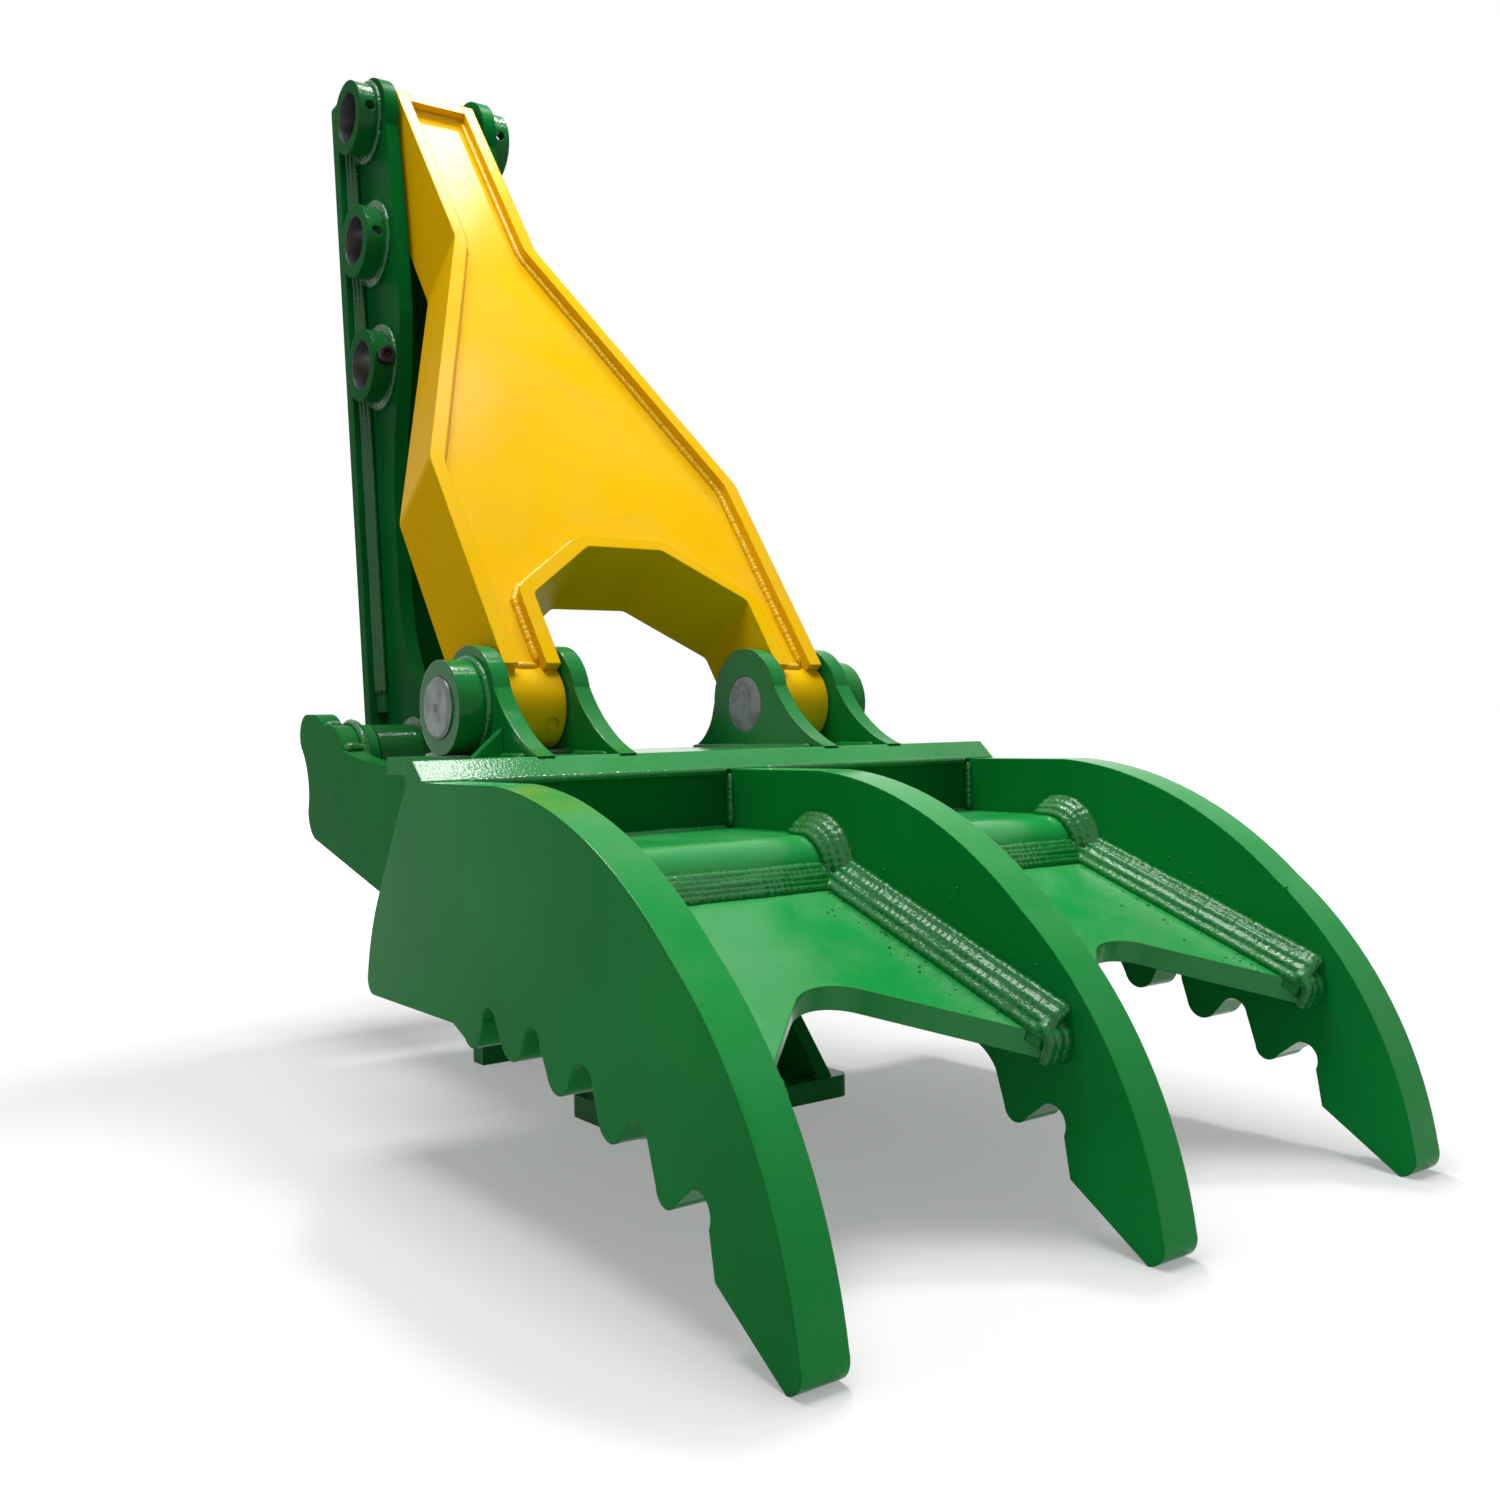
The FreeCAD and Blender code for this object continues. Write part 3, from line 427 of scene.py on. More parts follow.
stains = make_stains()
pin_steel = steel("turned_pin_steel", (0.14, 0.165, 0.16, 1), roughness=0.28, tightness=40.0)
plated = steel("zinc_plated_steel", (0.50, 0.50, 0.47, 1), roughness=0.34)
blackened = steel("blackened_screw_steel", (0.045, 0.038, 0.045, 1), roughness=0.38)
bush_steel = steel("greased_bush_steel", (0.16, 0.15, 0.13, 1), roughness=0.42)
bore_steel = steel("machined_bore_steel", (0.22, 0.22, 0.23, 1), roughness=0.36)
print("metals:", pin_steel.name, plated.name, blackened.name, bush_steel.name, bore_steel.name)


# %% [markdown]
# Every CAD node already names a material slot, so dressing the solids is one loop: the node keeps its
# shape and gets the finish of its slot. Where the coat differs in shine or carries painted light or shade,
# a short list gives the node a finish of its own, for the left and the right piece alike.

# %% Dress the CAD nodes
finishes = {"green_paint": green, "yellow_paint": yellow, "bare_steel": pin_steel, "plated_steel": plated,
            "bush_steel": bush_steel}
slots = {s["node"]: s["material_slot"] for s in frame["record"]["subparts"]}
own_coats = [
    (green_cheek, ("hinge_cheek_right", "hinge_cheek_left", "hinge_boss_right", "hinge_boss_left",
                   "pivot_pin")),
    (green_ear, ("outer_ear_right", "outer_ear_left", "inner_ear_right", "inner_ear_left", "ear_boss_right",
                 "ear_boss_left", "ear_gussets")),
    (green_web, ("web_right", "web_left", "shelf_right", "shelf_left")),
    (bracket_satin, ("rail_right", "rail_left", "mount_plate", "bay_front_plates")),
    (bracket_gloss, ("rail_welds", "base_barrel", "base_tie_plate")),
    (yellow_satin, ("arm_arch_plate",)),
    (blackened, ("lock_bolt",)),
]
own_finish = {name: coat for coat, names in own_coats for name in names}
for name, node in nodes.items():
    node.data.materials.clear()
    node.data.materials.append(own_finish.get(name, finishes[slots[name]]))
print("dressed", len(nodes), "nodes; with a finish of their own:", len([n for n in own_finish if n in nodes]))


# %% [markdown]
# A plate is rolled on its two sides and cut round its edge, and the two take paint differently. A second
# slot on the same mesh does it: each face that doesn't look sideways belongs to the cut edge and gets the
# glossier coat. On the tines that coat is also lighter, which is painted light.

# %% Coats on sides and cut edges
EDGE_TURN = 0.5


def coat_two_ways(node, on_sides, on_edges):
    node.data.materials[0] = on_sides
    node.data.materials.append(on_edges)
    for face in node.data.polygons:
        if abs(face.normal.y) < EDGE_TURN:
            face.material_index = 1


for name in ("tine_right", "tine_centre", "tine_left"):
    coat_two_ways(nodes[name], green_satin, green_edge)
for name in ("arm_side_right", "arm_side_left"):
    coat_two_ways(nodes[name], yellow_satin, yellow)
for name in ("rail_bosses_right", "rail_bosses_left"):
    coat_two_ways(nodes[name], bracket_satin, bracket_gloss)
coat_two_ways(nodes["deck_plate"], green_satin, green_gloss)
print("coated two ways:", [n for n, node in nodes.items() if len(node.data.materials) == 2])


# %% [markdown]
# The bores that take the adjusting pin stay bare on the real bracket, because the first pin scrapes the
# paint off. Their faces are found by their distance from the axis of a hole, and get a slot of machined
# steel.

# %% Bare bores
HOLE_AHEAD = 70.0
TOP_HOLE_UP = 844.7
HOLE_PITCH = 164.0
BORE_REACH = 31.5 * MM
BORE_TURN = 0.2
hole_heights = [TOP_HOLE_UP - HOLE_PITCH * i for i in range(3)]
hole_axes = [on_bracket(HOLE_AHEAD, 0, w) for w in hole_heights]


def bare_the_bores(node):
    node.data.materials.append(bore_steel)
    bare = len(node.data.materials) - 1
    count = 0
    for face in node.data.polygons:
        middle = face.center
        off = min(math.hypot(middle.x - a.x, middle.z - a.z) for a in hole_axes)
        if off < BORE_REACH and abs(face.normal.y) < BORE_TURN:
            face.material_index = bare
            count += 1
    return count


bored = ("rail_left", "rail_right", "rail_bosses_left", "rail_bosses_right")
print("bare bore faces", {name: bare_the_bores(nodes[name]) for name in bored})


# %% [markdown]
# A weld bead is a chain of frozen ripples, each a little over the last. A plain tube would look like
# putty, so the bead is swept along its corner ring by ring: the radius swells and drops once per ripple
# and wanders a little, as a hand-held torch does. Half of each ring lies inside the plates, as a real
# fillet fills its corner.

# %% Rings of a bead
RING_STEP = 1.9 * MM
RIPPLE = 6.2 * MM
RING_SIDES = 8
UNEVEN = 0.05
WANDER_RATE = 0.13
END_TAPER = (0.45, 0.75, 0.92)


def resample(points, step):
    """Points along a path at an even step, so that all ripples are of one length."""
    out = [points[0].copy()]
    for a, b in zip(points[:-1], points[1:]):
        count = max(1, round((b - a).length / step))
        out += [a.lerp(b, (i + 1) / count) for i in range(count)]
    return out


def ring_swell(i, count, closed, ripple_share, wander):
    """Size of one ring: the ripple's saw tooth, a slow wander, some chance, a taper at an open end."""
    ripple = (i * RING_STEP / RIPPLE) % 1.0
    swell = 1.0 + ripple_share * (1.0 - ripple) + UNEVEN * math.sin(i * WANDER_RATE + wander)
    swell += random.uniform(-UNEVEN, UNEVEN)
    end = min(i, count - 1 - i)
    if not closed and end < len(END_TAPER):
        swell *= END_TAPER[end]
    return swell


def make_ring(mesh, here, side, up, radius, swell):
    ring = []
    for k in range(RING_SIDES):
        angle = 2 * math.pi * k / RING_SIDES
        offset = (side * math.cos(angle) + up * math.sin(angle)) * radius * MM * swell
        ring.append(mesh.verts.new(here + offset))
    return ring


def join_rings(mesh, rings, closed):
    """Skin a row of rings; an open bead gets a cap at each end."""
    pairs = list(zip(rings[:-1], rings[1:]))
    if closed:
        pairs.append((rings[-1], rings[0]))
    for a, b in pairs:
        for k in range(RING_SIDES):
            mesh.faces.new((a[k], a[(k + 1) % RING_SIDES], b[(k + 1) % RING_SIDES], b[k]))
    if not closed:
        mesh.faces.new(list(reversed(rings[0])))
        mesh.faces.new(rings[-1])


print("ripples of", RIPPLE / MM, "mm in rings of", RING_SIDES, "sides")


# %% [markdown]
# The sweep carries one sideways direction along the path and turns it as little as it can, so the skin
# doesn't twist. All beads of one body become one mesh that rides that body, with any grains of spatter
# beside them.

# %% Sweep beads into an object
GRAIN_SIZE = (0.7, 1.6)


def sweep_bead(mesh, points, radius, closed, ripple_share):
    """Add one rippled bead to a mesh; the path is in metres, and a closed one repeats no point."""
    path = resample(points + points[:1] if closed else points, RING_STEP)
    if closed:
        path = path[:-1]
    rings = []
    side = None
    wander = random.uniform(0, 6)
    for i, here in enumerate(path):
        before = path[i - 1] if closed or i else path[0]
        after = path[(i + 1) % len(path)] if closed or i + 1 < len(path) else path[-1]
        way = (after - before).normalized()
        if side is None:
            side = way.orthogonal().normalized()
        side = (side - way * side.dot(way)).normalized()
        swell = ring_swell(i, len(path), closed, ripple_share, wander)
        rings.append(make_ring(mesh, here, side, way.cross(side), radius, swell))
    join_rings(mesh, rings, closed)


def bead_object(name, beads, body, material, spatter=(), ripple_share=0.17):
    mesh = bmesh.new()
    for points, radius, closed in beads:
        sweep_bead(mesh, points, radius, closed, ripple_share)
    for spot in spatter:
        size = random.uniform(*GRAIN_SIZE) * MM
        bmesh.ops.create_icosphere(mesh, subdivisions=2, radius=size, matrix=Matrix.Translation(spot))
    bmesh.ops.recalc_face_normals(mesh, faces=mesh.faces)
    data = bpy.data.meshes.new(name)
    mesh.to_mesh(data)
    mesh.free()
    for face in data.polygons:
        face.use_smooth = True
    data.materials.append(material)
    made = bpy.data.objects.new(name, data)
    scene.collection.objects.link(made)
    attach(made, body)
    print(name, "beads", len(beads), "faces", len(data.polygons))
    return made


print("bead tools ready")


# %% [markdown]
# Most beads are straight lines or rings round a boss. A bead is kept as its path, its radius in
# millimetres and whether it closes on itself. A ring is drawn in the plane of any two directions, so the
# same helper serves the upright bosses of the thumb and the leaning ones of the bracket.

# %% Straight and round beads
ARC_STEP = 4.0


def open_bead(points, radius):
    """A bead along a path of its own."""
    return points, radius, False


def straight(start, end, radius):
    """A bead between two points of the thumb."""
    return open_bead([on_thumb(*start), on_thumb(*end)], radius)


def round_bead(centre, ahead, up, reach, radius, start=0.0, end=360.0):
    """A bead round a centre, as a full ring or from one angle to another."""
    count = max(2, round(abs(end - start) / ARC_STEP))
    full = abs(end - start) >= 359.9
    angles = [start + (end - start) * i / count for i in range(count if full else count + 1)]
    points = [centre + (ahead * math.cos(math.radians(a)) + up * math.sin(math.radians(a))) * reach * MM
              for a in angles]
    return points, radius, full


print("bead shapes ready, arcs in steps of", ARC_STEP, "degrees")


# %% [markdown]
# The strongest welds of the thumb tie each web to the tines. They were laid in four passes side by side:
# each starts in a round lobe on top of the shelf, runs down over its fold and out along the slope. The
# CAD solid gives the body of the weld. Here each pass gets its own ripples along the same path, a little
# proud of its ridge.

# %% Sizes of the web welds
SHELF_FRONT = 294.0
SHELF_TOP = 284.0
FOLD_R = 32.0
WEB_START_Z = 244.4
WEB_SLOPE = math.radians(20.5)
WEB_FRONT = 555.0
WEB_END = (WEB_FRONT - 4.0 - SHELF_FRONT) / math.cos(WEB_SLOPE)
WEB_END_Z = WEB_START_Z - (WEB_FRONT - SHELF_FRONT) * math.tan(WEB_SLOPE)
WEB_BEAD = (22.0, 25.0)
FOLD_BEAD = (18.0, 19.0)
SHELF_BEAD = (17.0, 17.5)
FOLD_AHEAD = 4.0
LOBE = 12.0
SINK = 4.6
INNER_LIFT = 0.1
OUTER_LIFT = 0.05
RIDGE_SWELL = 0.22
SEAMS = ((18.0, 1), (297.0, -1), (-18.0, -1), (-297.0, 1))


def crests(reach, rise, passes, fall=0.0):
    """Middle of each pass of a fillet: distances from the wall and from the plate, sunk under its ridge."""
    length = math.hypot(reach, rise + fall)
    out = ((rise + fall) / length, reach / length)
    places = []
    for i in range(passes):
        part = (i + 0.5) / passes
        lift = INNER_LIFT if 0 < i < passes - 1 else OUTER_LIFT
        swell = reach * lift + length / passes * RIDGE_SWELL - SINK
        places.append((reach * (1 - part) + out[0] * swell, rise * part - fall * (1 - part) + out[1] * swell))
    return places


def between(places):
    """Half-way places, where a thinner bead fills the groove between two passes."""
    return [tuple((a + b) / 2 for a, b in zip(one, two)) for one, two in zip(places[:-1], places[1:])]


print("web runs down", round(WEB_END), "mm and ends at height", round(WEB_END_Z, 1))


# %% [markdown]
# One pass is a path in three parts: a straight run up the web, a quarter turn over the fold of the shelf,
# and most of a quarter turn round the start lobe back to the tine. Each part is a short formula, so all
# four passes on all four seams come from the same lines.

# %% Passes along the tines
BEND_ROOM = 14.0
FOLD_STEPS = 8
LOBE_STEPS = 5
LOBE_TURN = 80.0


def pass_path(wall, side, on_web, on_fold):
    web_out, web_up = on_web
    fold_out, fold_up = on_fold
    front = SHELF_FRONT + FOLD_AHEAD + fold_up
    meet = (FOLD_AHEAD + fold_up - web_up * math.sin(WEB_SLOPE)) / math.cos(WEB_SLOPE)

    def on_slope(t, out):
        x = SHELF_FRONT + t * math.cos(WEB_SLOPE) + web_up * math.sin(WEB_SLOPE)
        z = WEB_START_Z - t * math.sin(WEB_SLOPE) + web_up * math.cos(WEB_SLOPE)
        return on_thumb(x, wall + side * out, z)

    points = [on_slope(WEB_END, web_out), on_slope(meet + BEND_ROOM, web_out),
              on_slope(meet, (web_out + fold_out) / 2)]
    turn_x = SHELF_FRONT - FOLD_R + FOLD_AHEAD
    turn_z = SHELF_TOP - FOLD_R
    for step in range(FOLD_STEPS + 1):
        angle = math.radians(90.0 * step / FOLD_STEPS)
        points.append(on_thumb(turn_x + (front - turn_x) * math.cos(angle), wall + side * fold_out,
                               turn_z + (FOLD_R + fold_up) * math.sin(angle)))
    for step in range(LOBE_STEPS + 1):
        angle = math.radians(LOBE_TURN * step / LOBE_STEPS)
        points.append(on_thumb(turn_x - LOBE - fold_out * math.sin(angle),
                               wall + side * fold_out * math.cos(angle), SHELF_TOP + fold_up))
    return points


print("points in one pass:", len(pass_path(*SEAMS[0], crests(*WEB_BEAD, 4)[0], crests(*FOLD_BEAD, 4)[0])))


# %% [markdown]
# At the web's front edge the welder turned the corner and ran three short beads down over the end of the
# seam. Between neighbouring passes lies a thinner one, so the grooves don't cut down to the solid. The
# corner of shelf and web gets three straight passes in the same manner.

# %% Web, end and shelf beads
PASS_RADIUS = 5.0
GROOVE_RADIUS = 4.2
SHELF_RADIUS = 4.7
END_BEADS = ((3.5, 7.5), (11.0, 6.5), (17.0, 5.0))
END_PATH = ((-12.0, 12.0), (-4.0, 8.0), (0.0, 1.0), (-3.0, -8.0), (-8.0, -17.0))
BAY_RUNS = ((22.0, 293.0), (-293.0, -22.0))


def seam_beads(wall, side):
    on_web = crests(*WEB_BEAD, 4)
    on_fold = crests(*FOLD_BEAD, 4)
    beads = []
    for web_place, fold_place in zip(on_web, on_fold):
        beads.append(open_bead(pass_path(wall, side, web_place, fold_place), PASS_RADIUS))
    for web_place, fold_place in zip(between(on_web), between(on_fold)):
        beads.append(open_bead(pass_path(wall, side, web_place, fold_place), GROOVE_RADIUS))
    for out, radius in END_BEADS:
        wrap = [on_thumb(WEB_FRONT - 1.0 + ahead, wall + side * out, WEB_END_Z + up)
                for ahead, up in END_PATH]
        beads.append(open_bead(wrap, radius))
    return beads


def shelf_beads(low, high):
    ridges = crests(*SHELF_BEAD, 3, fall=SHELF_BEAD[0] * math.tan(WEB_SLOPE))
    places = [(SHELF_FRONT - 3 + ahead, WEB_START_Z + above) for ahead, above in ridges + between(ridges)]
    return [straight((x, low, z), (x, high, z), SHELF_RADIUS) for x, z in places]


thumb_beads = []
for wall, side in SEAMS:
    thumb_beads += seam_beads(wall, side)
for low, high in BAY_RUNS:
    thumb_beads += shelf_beads(low, high)
print("web, end and shelf beads", len(thumb_beads))


# %% [markdown]
# Drops of molten metal fly out of a weld and stay on the plates beside it as small hard grains, thickest
# close to the bead. They are scattered by a seeded chance along each seam, on the web and on the side of
# the tine. A grain that would hang over the V in the web's front is left out.

# %% Weld spatter
WEB_ROOT = 427.0
WEB_REACH = 130.0
GRAINS_PER_SEAM = 34
SPATTER_RUN = (20.0, 250.0)
SPATTER_CLEAR = 3.0
SPATTER_SPREAD = 16.0
ON_TINE_AHEAD = 9.0
SHARE_ON_TINE = 0.4


def seam_spatter(wall, side):
    spots = []
    for _ in range(GRAINS_PER_SEAM):
        t = random.uniform(*SPATTER_RUN)
        away = SPATTER_CLEAR + abs(random.gauss(0.0, SPATTER_SPREAD))
        x = SHELF_FRONT + t * math.cos(WEB_SLOPE)
        z = WEB_START_Z - t * math.sin(WEB_SLOPE)
        out = WEB_BEAD[0] + away
        if random.random() < SHARE_ON_TINE:
            spots.append(on_thumb(x + ON_TINE_AHEAD, wall, z + WEB_BEAD[1] + away))
        elif out < WEB_REACH - max(0.0, x - WEB_ROOT):
            spots.append(on_thumb(x, wall + side * out, z))
    return spots


spatter = [spot for wall, side in SEAMS for spot in seam_spatter(wall, side)]
print("spatter grains", len(spatter))


# %% [markdown]
# The ears stand on the deck with a thin bead along both faces. Beside the arm's leg the bead leaves out
# the middle, where a torch has no room. The round boss outside each outer ear is welded over its upper
# part.

# %% Ear beads
EAR_X = ear_pin.x / MM - CAD_SHIFT
EAR_Z = ear_pin.z / MM
DECK_TOP = 358.1
OPEN_FACES = (216.5, 110.5)
LEG_FACES = (131.0, 196.0)
EAR_RUN = (-100, 116)
LEG_RUNS = ((-100, -52), (52, 116))
BOSS_FACE = 216.0
BOSS_SEAM_R = 46.6


def ear_line(side, y, run, radius):
    start, end = run
    return straight((EAR_X + start, side * y, DECK_TOP), (EAR_X + end, side * y, DECK_TOP), radius)


def ear_beads(side):
    beads = [ear_line(side, y, EAR_RUN, radius=3.2) for y in OPEN_FACES]
    beads += [ear_line(side, y, run, radius=2.8) for y in LEG_FACES for run in LEG_RUNS]
    boss = on_thumb(EAR_X, side * BOSS_FACE, EAR_Z)
    return beads + [round_bead(boss, AHEAD, UP, BOSS_SEAM_R, radius=3.8, start=-55, end=235)]


print("ear beads on each side", len(ear_beads(1)))


# %% [markdown]
# In each bay, the front plate is welded to the tines down both ends, to the shelf below and to the deck
# above.

# %% Bay beads
BAY_FACE = 134.5
BAY_ENDS = (19.5, 295.5)
BAY_WIDTH = (24.0, 291.0)
BAY_HEIGHTS = (285.0, 336.0)
AT_SHELF = 283.0
AT_DECK = 338.8


def bay_beads(side):
    near, far = BAY_WIDTH
    low, high = BAY_HEIGHTS
    beads = [straight((BAY_FACE, side * y, low), (BAY_FACE, side * y, high), radius=4.0) for y in BAY_ENDS]
    for z, radius in ((AT_SHELF, 4.0), (AT_DECK, 3.6)):
        beads.append(straight((BAY_FACE, side * near, z), (BAY_FACE, side * far, z), radius=radius))
    return beads


print("bay beads on each side", len(bay_beads(1)))


# %% [markdown]
# Plainer beads hold the foot's gussets, the belly plate along the cheeks and the hinge bosses. At the
# hinge the photograph shows soft lumps of painted weld across the cheek's upper edge, which two short
# heavy beads stand for.

# %% Foot, belly and hinge beads
FOOT_Y = 93.5
BELLY_Y = 162.5
BELLY_LINE = ((-370.0, 228.0), (-327.0, 217.5), (-34.0, 177.5))
HINGE_Y = 160.5
HINGE_SEAM_R = 47.5
CHEEK_EDGE = (165.0, 187.0)
CHEEK_LUMPS = ((-432.0, 365.5), (-497.5, 391.5))


def hinge_and_belly_beads(side):
    foot = straight((40.0, side * FOOT_Y, 23.0), (115.0, side * FOOT_Y, 23.0), radius=2.6)
    belly = open_bead([on_thumb(x, side * BELLY_Y, z) for x, z in BELLY_LINE], radius=4.0)
    hinge = on_thumb(pivot.x / MM - CAD_SHIFT, side * HINGE_Y, pivot.z / MM)
    inner, outer = CHEEK_EDGE
    lumps = [straight((x, side * inner, z), (x, side * outer, z), radius=6.5) for x, z in CHEEK_LUMPS]
    return [foot, belly, round_bead(hinge, AHEAD, UP, HINGE_SEAM_R, radius=5.2)] + lumps


for side in (1, -1):
    thumb_beads += ear_beads(side) + bay_beads(side) + hinge_and_belly_beads(side)
thumb_beads.append(straight((39.0, -115.0, 24.0), (39.0, 115.0, 24.0), radius=3.4))
bead_object("thumb_weld_ripples", thumb_beads, "thumb", green_weld, spatter)


# %% [markdown]
# The bracket's rails carry the same kind of bead down both corners of the mount plate, in three passes.
# Each boss has a ring against its rail and a second pass outside it. The top boss lies close under the
# rail's round end, so its second pass only runs along the lower part, and the seam of each rail with the
# barrel is an arc.

# %% Bracket beads
MOUNT_FACE = 20.0
RAIL_FACE = 78.0
RAIL_PASSES = ((11.0, 3.4), (7.2, 7.2), (3.4, 11.0))
RAIL_RUN = (834.0, 93.0)
SEAM_FACE = 79.0
BOSS_RING = 47.0
OUTER_RING = 52.0
TOP_ARC = 51.5


def rail_beads(side):
    high, low = RAIL_RUN
    beads = []
    for out, ahead in RAIL_PASSES:
        u = MOUNT_FACE + ahead
        y = side * (RAIL_FACE + out)
        beads.append(open_bead([on_bracket(u, y, high), on_bracket(u, y, low)], radius=3.6))
    return beads


def boss_beads(side):
    leaning = (bracket_ahead, bracket_up)
    top, *others = [on_bracket(HOLE_AHEAD, side * SEAM_FACE, w) for w in hole_heights]
    beads = [round_bead(top, *leaning, BOSS_RING, radius=3.8),
             round_bead(top, *leaning, TOP_ARC, radius=4.0, start=190, end=325)]
    for centre in others:
        beads.append(round_bead(centre, *leaning, BOSS_RING, radius=4.8))
        beads.append(round_bead(centre, *leaning, OUTER_RING, radius=4.0))
    foot = on_bracket(MOUNT_TO_PIVOT, side * SEAM_FACE, 0.0)
    beads.append(round_bead(foot, *leaning, BOSS_RING, radius=4.2, start=-5, end=150))
    beads.append(round_bead(foot, *leaning, OUTER_RING, radius=3.6, start=8, end=120))
    return beads


bracket_beads = []
for side in (1, -1):
    bracket_beads += rail_beads(side) + boss_beads(side)
bead_object("bracket_weld_ripples", bracket_beads, "base_bracket", bracket_weld)


# %% [markdown]
# The arm is a folded box. Its front and rear plates are let in behind the rims of the side walls, and a
# fillet runs all the way round inside that frame. Down the walls it follows the two folds, so its path is
# the same corner line as in the CAD part, with a short straight at each fold.

# %% Seams along the arm's rims
ARM_PLATE = 16.0
NECK_HALF = 54.0
SHOULDER_HALF = 194.0
NECK = NECK_HALF - ARM_PLATE
SHOULDER = SHOULDER_HALF - ARM_PLATE
FOLD_1 = 286.0
FOLD_2 = 673.0
FOLD_SHIFT = ARM_PLATE * math.tan(math.atan2(SHOULDER_HALF - NECK_HALF, FOLD_2 - FOLD_1) / 2)
ARM_END = arm_length / MM
LEG_STOP = ARM_END - 26
INTO_CORNER = 0.8
NECK_BEND = (8.0, 2.9)
SHOULDER_BEND = (5.0, 1.8)


def rim_line(side, n, top):
    at_neck = FOLD_1 + FOLD_SHIFT
    at_shoulder = FOLD_2 + FOLD_SHIFT
    neck_along, neck_out = NECK_BEND
    shoulder_along, shoulder_in = SHOULDER_BEND
    corners = [(top + 4.0, NECK), (at_neck - neck_along, NECK), (at_neck + neck_along, NECK + neck_out),
               (at_shoulder - shoulder_along, SHOULDER - shoulder_in),
               (at_shoulder + shoulder_along, SHOULDER), (LEG_STOP, SHOULDER)]
    return [on_arm(s, side * (y - INTO_CORNER), n) for s, y in corners]


print("rim seam", round(LEG_STOP), "mm down the arm, shifted", round(FOLD_SHIFT, 2), "mm at the folds")


# %% [markdown]
# The seam round the arch lies on the plates' side of the arch plate, so it is the arch's outline pushed
# outwards by the plate's thickness. Its right half is drawn up from the leg and mirrored for the left.

# %% Seam round the arch
LEG_IN = 132.0
ARCH_TOP = 787.0
ARCH_TOP_HALF = 46.0
ARCH_SIDE = 855.0
ARCH_INSET = 16.8


def arch_line(n):
    """Path round the arch; each corner is cut a few millimetres short, so that the bead bends there."""
    slope = math.atan2(ARCH_SIDE - ARCH_TOP, LEG_IN - ARCH_TOP_HALF)
    side_s = ARCH_SIDE - ARCH_INSET * math.tan((math.pi / 2 - slope) / 2)
    top_y = ARCH_TOP_HALF + ARCH_INSET * math.tan(slope / 2)
    leg_y = LEG_IN + ARCH_INSET
    right = [(LEG_STOP, leg_y), (side_s + 8, leg_y), (side_s - 6, leg_y - 7),
             (ARCH_TOP - ARCH_INSET + 3, top_y + 4), (ARCH_TOP - ARCH_INSET, top_y - 5)]
    left = [(s, -y) for s, y in reversed(right)]
    return [on_arm(s, y, n) for s, y in right + left]


print("points in the arch seam", len(arch_line(0.0)))


# %% [markdown]
# Front and rear plate get the same seams: two rims, the arch, the ends of both legs, and a bead across
# the top. The ripples are deeper here than on the thumb, because the yellow beads look coarser on the
# real arm.

# %% Arm beads
PLATE_SEAMS = ((38.6, 16.0), (-38.6, 26.0))
LEG_END_SEAM = ARM_END - 21.5
LEG_SEAM_Y = (151.0, 175.0)
TOP_SEAM_HALF = 35.0
arm_beads = []
for n, top in PLATE_SEAMS:
    for side in (1, -1):
        arm_beads.append(open_bead(rim_line(side, n, top), radius=4.0))
        arm_beads.append(open_bead([on_arm(LEG_END_SEAM, side * y, n) for y in LEG_SEAM_Y], radius=3.4))
    arm_beads.append(open_bead(arch_line(n), radius=4.0))
    arm_beads.append(open_bead([on_arm(top, y, n) for y in (-TOP_SEAM_HALF, TOP_SEAM_HALF)], radius=3.6))
bead_object("arm_weld_ripples", arm_beads, "arm", yellow_weld, ripple_share=0.30)


# %% [markdown]
# The photograph is cut out on white. More light would bleach the paint, so the white comes from the floor
# itself: it glows for the eye and for reflections only, which Light Path tells apart from the light that
# falls on the part. Near the part the glow is weak, and the soft shadow stays.

# %% Floor
FLOOR_HALF = 60.0
FLOOR_GREY = 0.50
GLOW_NEAR = 0.30
GLOW_FROM = 0.7
GLOW_FULL = 2.2


def seen_rays(tree):
    """1 for a ray from the camera, from a reflection or through glass, 0 for the light on the part."""
    path = add(tree, "ShaderNodeLightPath")
    seen = math_node(tree, "MAXIMUM", path.outputs["Is Camera Ray"], path.outputs["Is Glossy Ray"])
    return math_node(tree, "MAXIMUM", seen, path.outputs["Is Transmission Ray"])


def floor_paint():
    material = bpy.data.materials.new("pale_floor")
    material.use_nodes = True
    tree = material.node_tree
    shader = tree.nodes["Principled BSDF"]
    shader.inputs["Base Color"].default_value = (FLOOR_GREY, FLOOR_GREY, FLOOR_GREY, 1)
    shader.inputs["Roughness"].default_value = 0.9
    shader.inputs["Emission Color"].default_value = (1, 1, 1, 1)
    where = add(tree, "ShaderNodeSeparateXYZ", Vector=object_point(tree))
    across = math_node(tree, "ADD", math_node(tree, "POWER", where.outputs[0], 2.0),
                       math_node(tree, "POWER", where.outputs[1], 2.0))
    glow = ramp(tree, math_node(tree, "SQRT", across), low=GLOW_FROM, high=GLOW_FULL, start=GLOW_NEAR)
    tree.links.new(math_node(tree, "MULTIPLY", glow, seen_rays(tree)), shader.inputs["Emission Strength"])
    return material


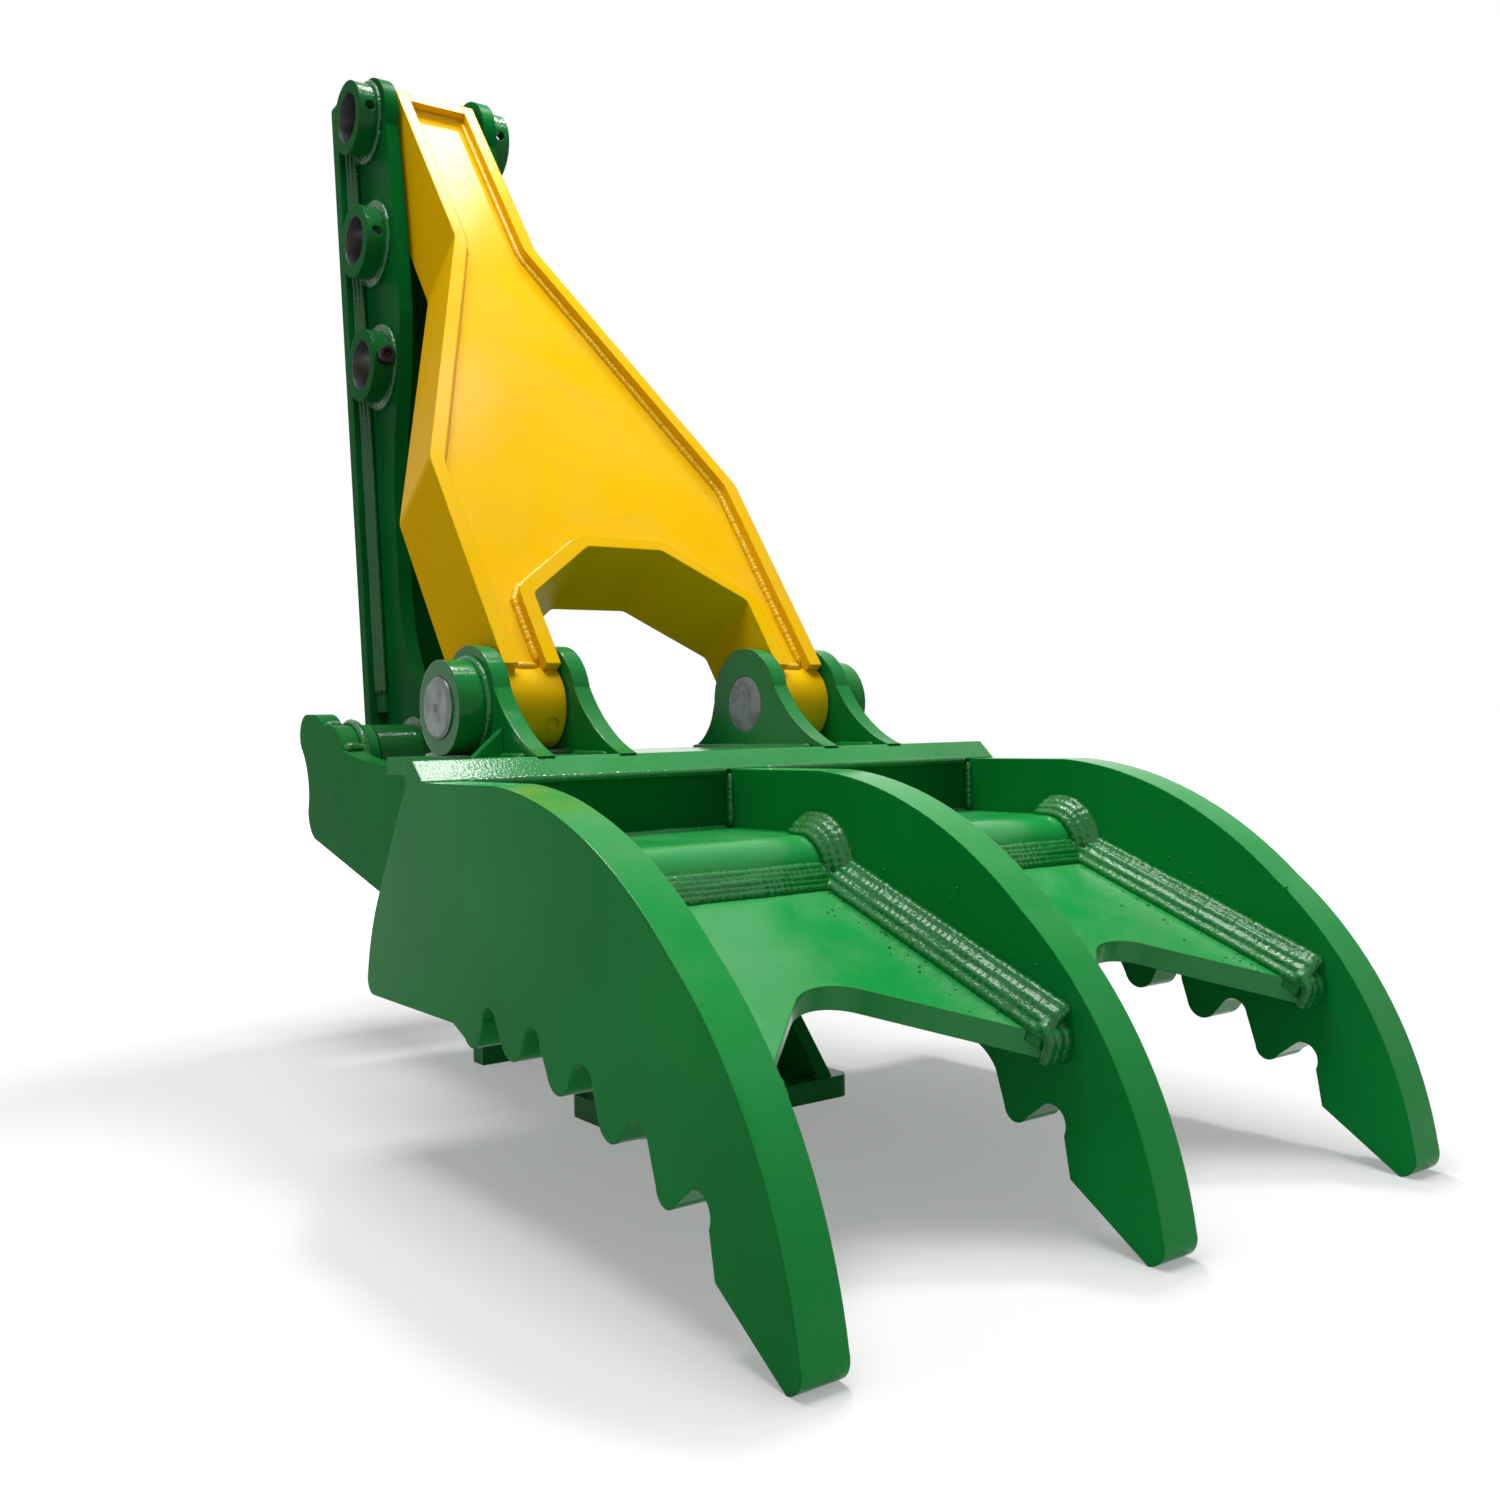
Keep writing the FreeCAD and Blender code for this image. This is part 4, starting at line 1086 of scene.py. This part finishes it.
def floor():
    mesh = bpy.data.meshes.new("floor")
    corners = [(x * FLOOR_HALF, y * FLOOR_HALF, 0) for x, y in ((-1, -1), (1, -1), (1, 1), (-1, 1))]
    mesh.from_pydata(corners, [], [(0, 1, 2, 3)])
    plane = bpy.data.objects.new("floor", mesh)
    scene.collection.objects.link(plane)
    mesh.materials.append(floor_paint())
    return plane


print("stage:", floor().name)


# %% [markdown]
# The world behind the floor is plain too. It gives a weak even light from all sides and is white where it
# is seen.

# %% World
WORLD_LIGHT = 0.28


def world():
    made = bpy.data.worlds.new("studio")
    scene.world = made
    made.use_nodes = True
    tree = made.node_tree
    back = tree.nodes["Background"]
    back.inputs["Color"].default_value = (1, 1, 1, 1)
    strength = math_node(tree, "MULTIPLY_ADD", seen_rays(tree), 1.0 - WORLD_LIGHT, WORLD_LIGHT)
    tree.links.new(strength, back.inputs["Strength"])


world()
print("world light", WORLD_LIGHT)


# %% [markdown]
# A workshop hall has small bright ceiling lights, and wet paint shows each of them as a streak. Two small
# panels hang where the camera sees them mirrored, one in the top of the arm and one in the bevel of the
# deck. A wide soft panel overhead gives most of the light, and a weak one in front opens up the ends of
# the tines.

# %% Lamps
PANELS = {
    "streak_panel": dict(hangs_at=(-0.74, 0.71, 2.9), aim=(-0.74, 0.71, 0.0), size=(0.56, 0.28), watts=46),
    "bevel_panel": dict(hangs_at=(-0.01, 0.76, 2.9), aim=(-0.01, 0.76, 0.0), size=(0.18, 0.36), watts=6.5),
    "key_panel": dict(hangs_at=(0.0, -0.35, 3.3), aim=(0.0, 0.0, 0.4), size=(1.6, 1.6), watts=87),
    "front_panel": dict(hangs_at=(3.2, -0.6, 1.3), aim=(0.0, 0.0, 0.5), size=(2.0, 1.4), watts=6),
}


def panel(name, hangs_at, aim, size, watts):
    lamp = bpy.data.lights.new(name, "AREA")
    lamp.shape = "RECTANGLE"
    lamp.size, lamp.size_y = size
    lamp.energy = watts
    holder = bpy.data.objects.new(name, lamp)
    scene.collection.objects.link(holder)
    holder.location = hangs_at
    holder.rotation_euler = (Vector(aim) - Vector(hangs_at)).to_track_quat("-Z", "Y").to_euler()


for name, hung in PANELS.items():
    panel(name, **hung)
print("lamps in watts:", {name: hung["watts"] for name, hung in PANELS.items()})


# %% [markdown]
# The camera stands low at the front right, level with the deck, close enough for the tines to swing wide.
# Its place, its aim and its focal length were solved together from the three evenly spaced tines.

# %% Camera
CAMERA_AT = Vector((1.2996, -0.8297, 0.3820))
LOOK = Vector((-0.81116, 0.58458, -0.01703))
RIGHT = Vector((0.58483, 0.81081, -0.02362))
FOCAL_PX = 1476.48
FRAME_PX = 1500.0
SENSOR = 36.0


def make_camera():
    data = bpy.data.cameras.new("camera")
    data.sensor_width = SENSOR
    data.lens = SENSOR * FOCAL_PX / FRAME_PX
    data.clip_start = 0.02
    holder = bpy.data.objects.new("camera", data)
    scene.collection.objects.link(holder)
    look = LOOK.normalized()
    right = (RIGHT - look * RIGHT.dot(look)).normalized()
    up = right.cross(look)
    turn = Matrix((right, up, -look)).transposed().to_4x4()
    holder.matrix_world = Matrix.Translation(CAMERA_AT) @ turn
    scene.camera = holder
    return data


print("focal length", round(make_camera().lens, 2), "mm")
scene.view_settings.view_transform = "Standard"
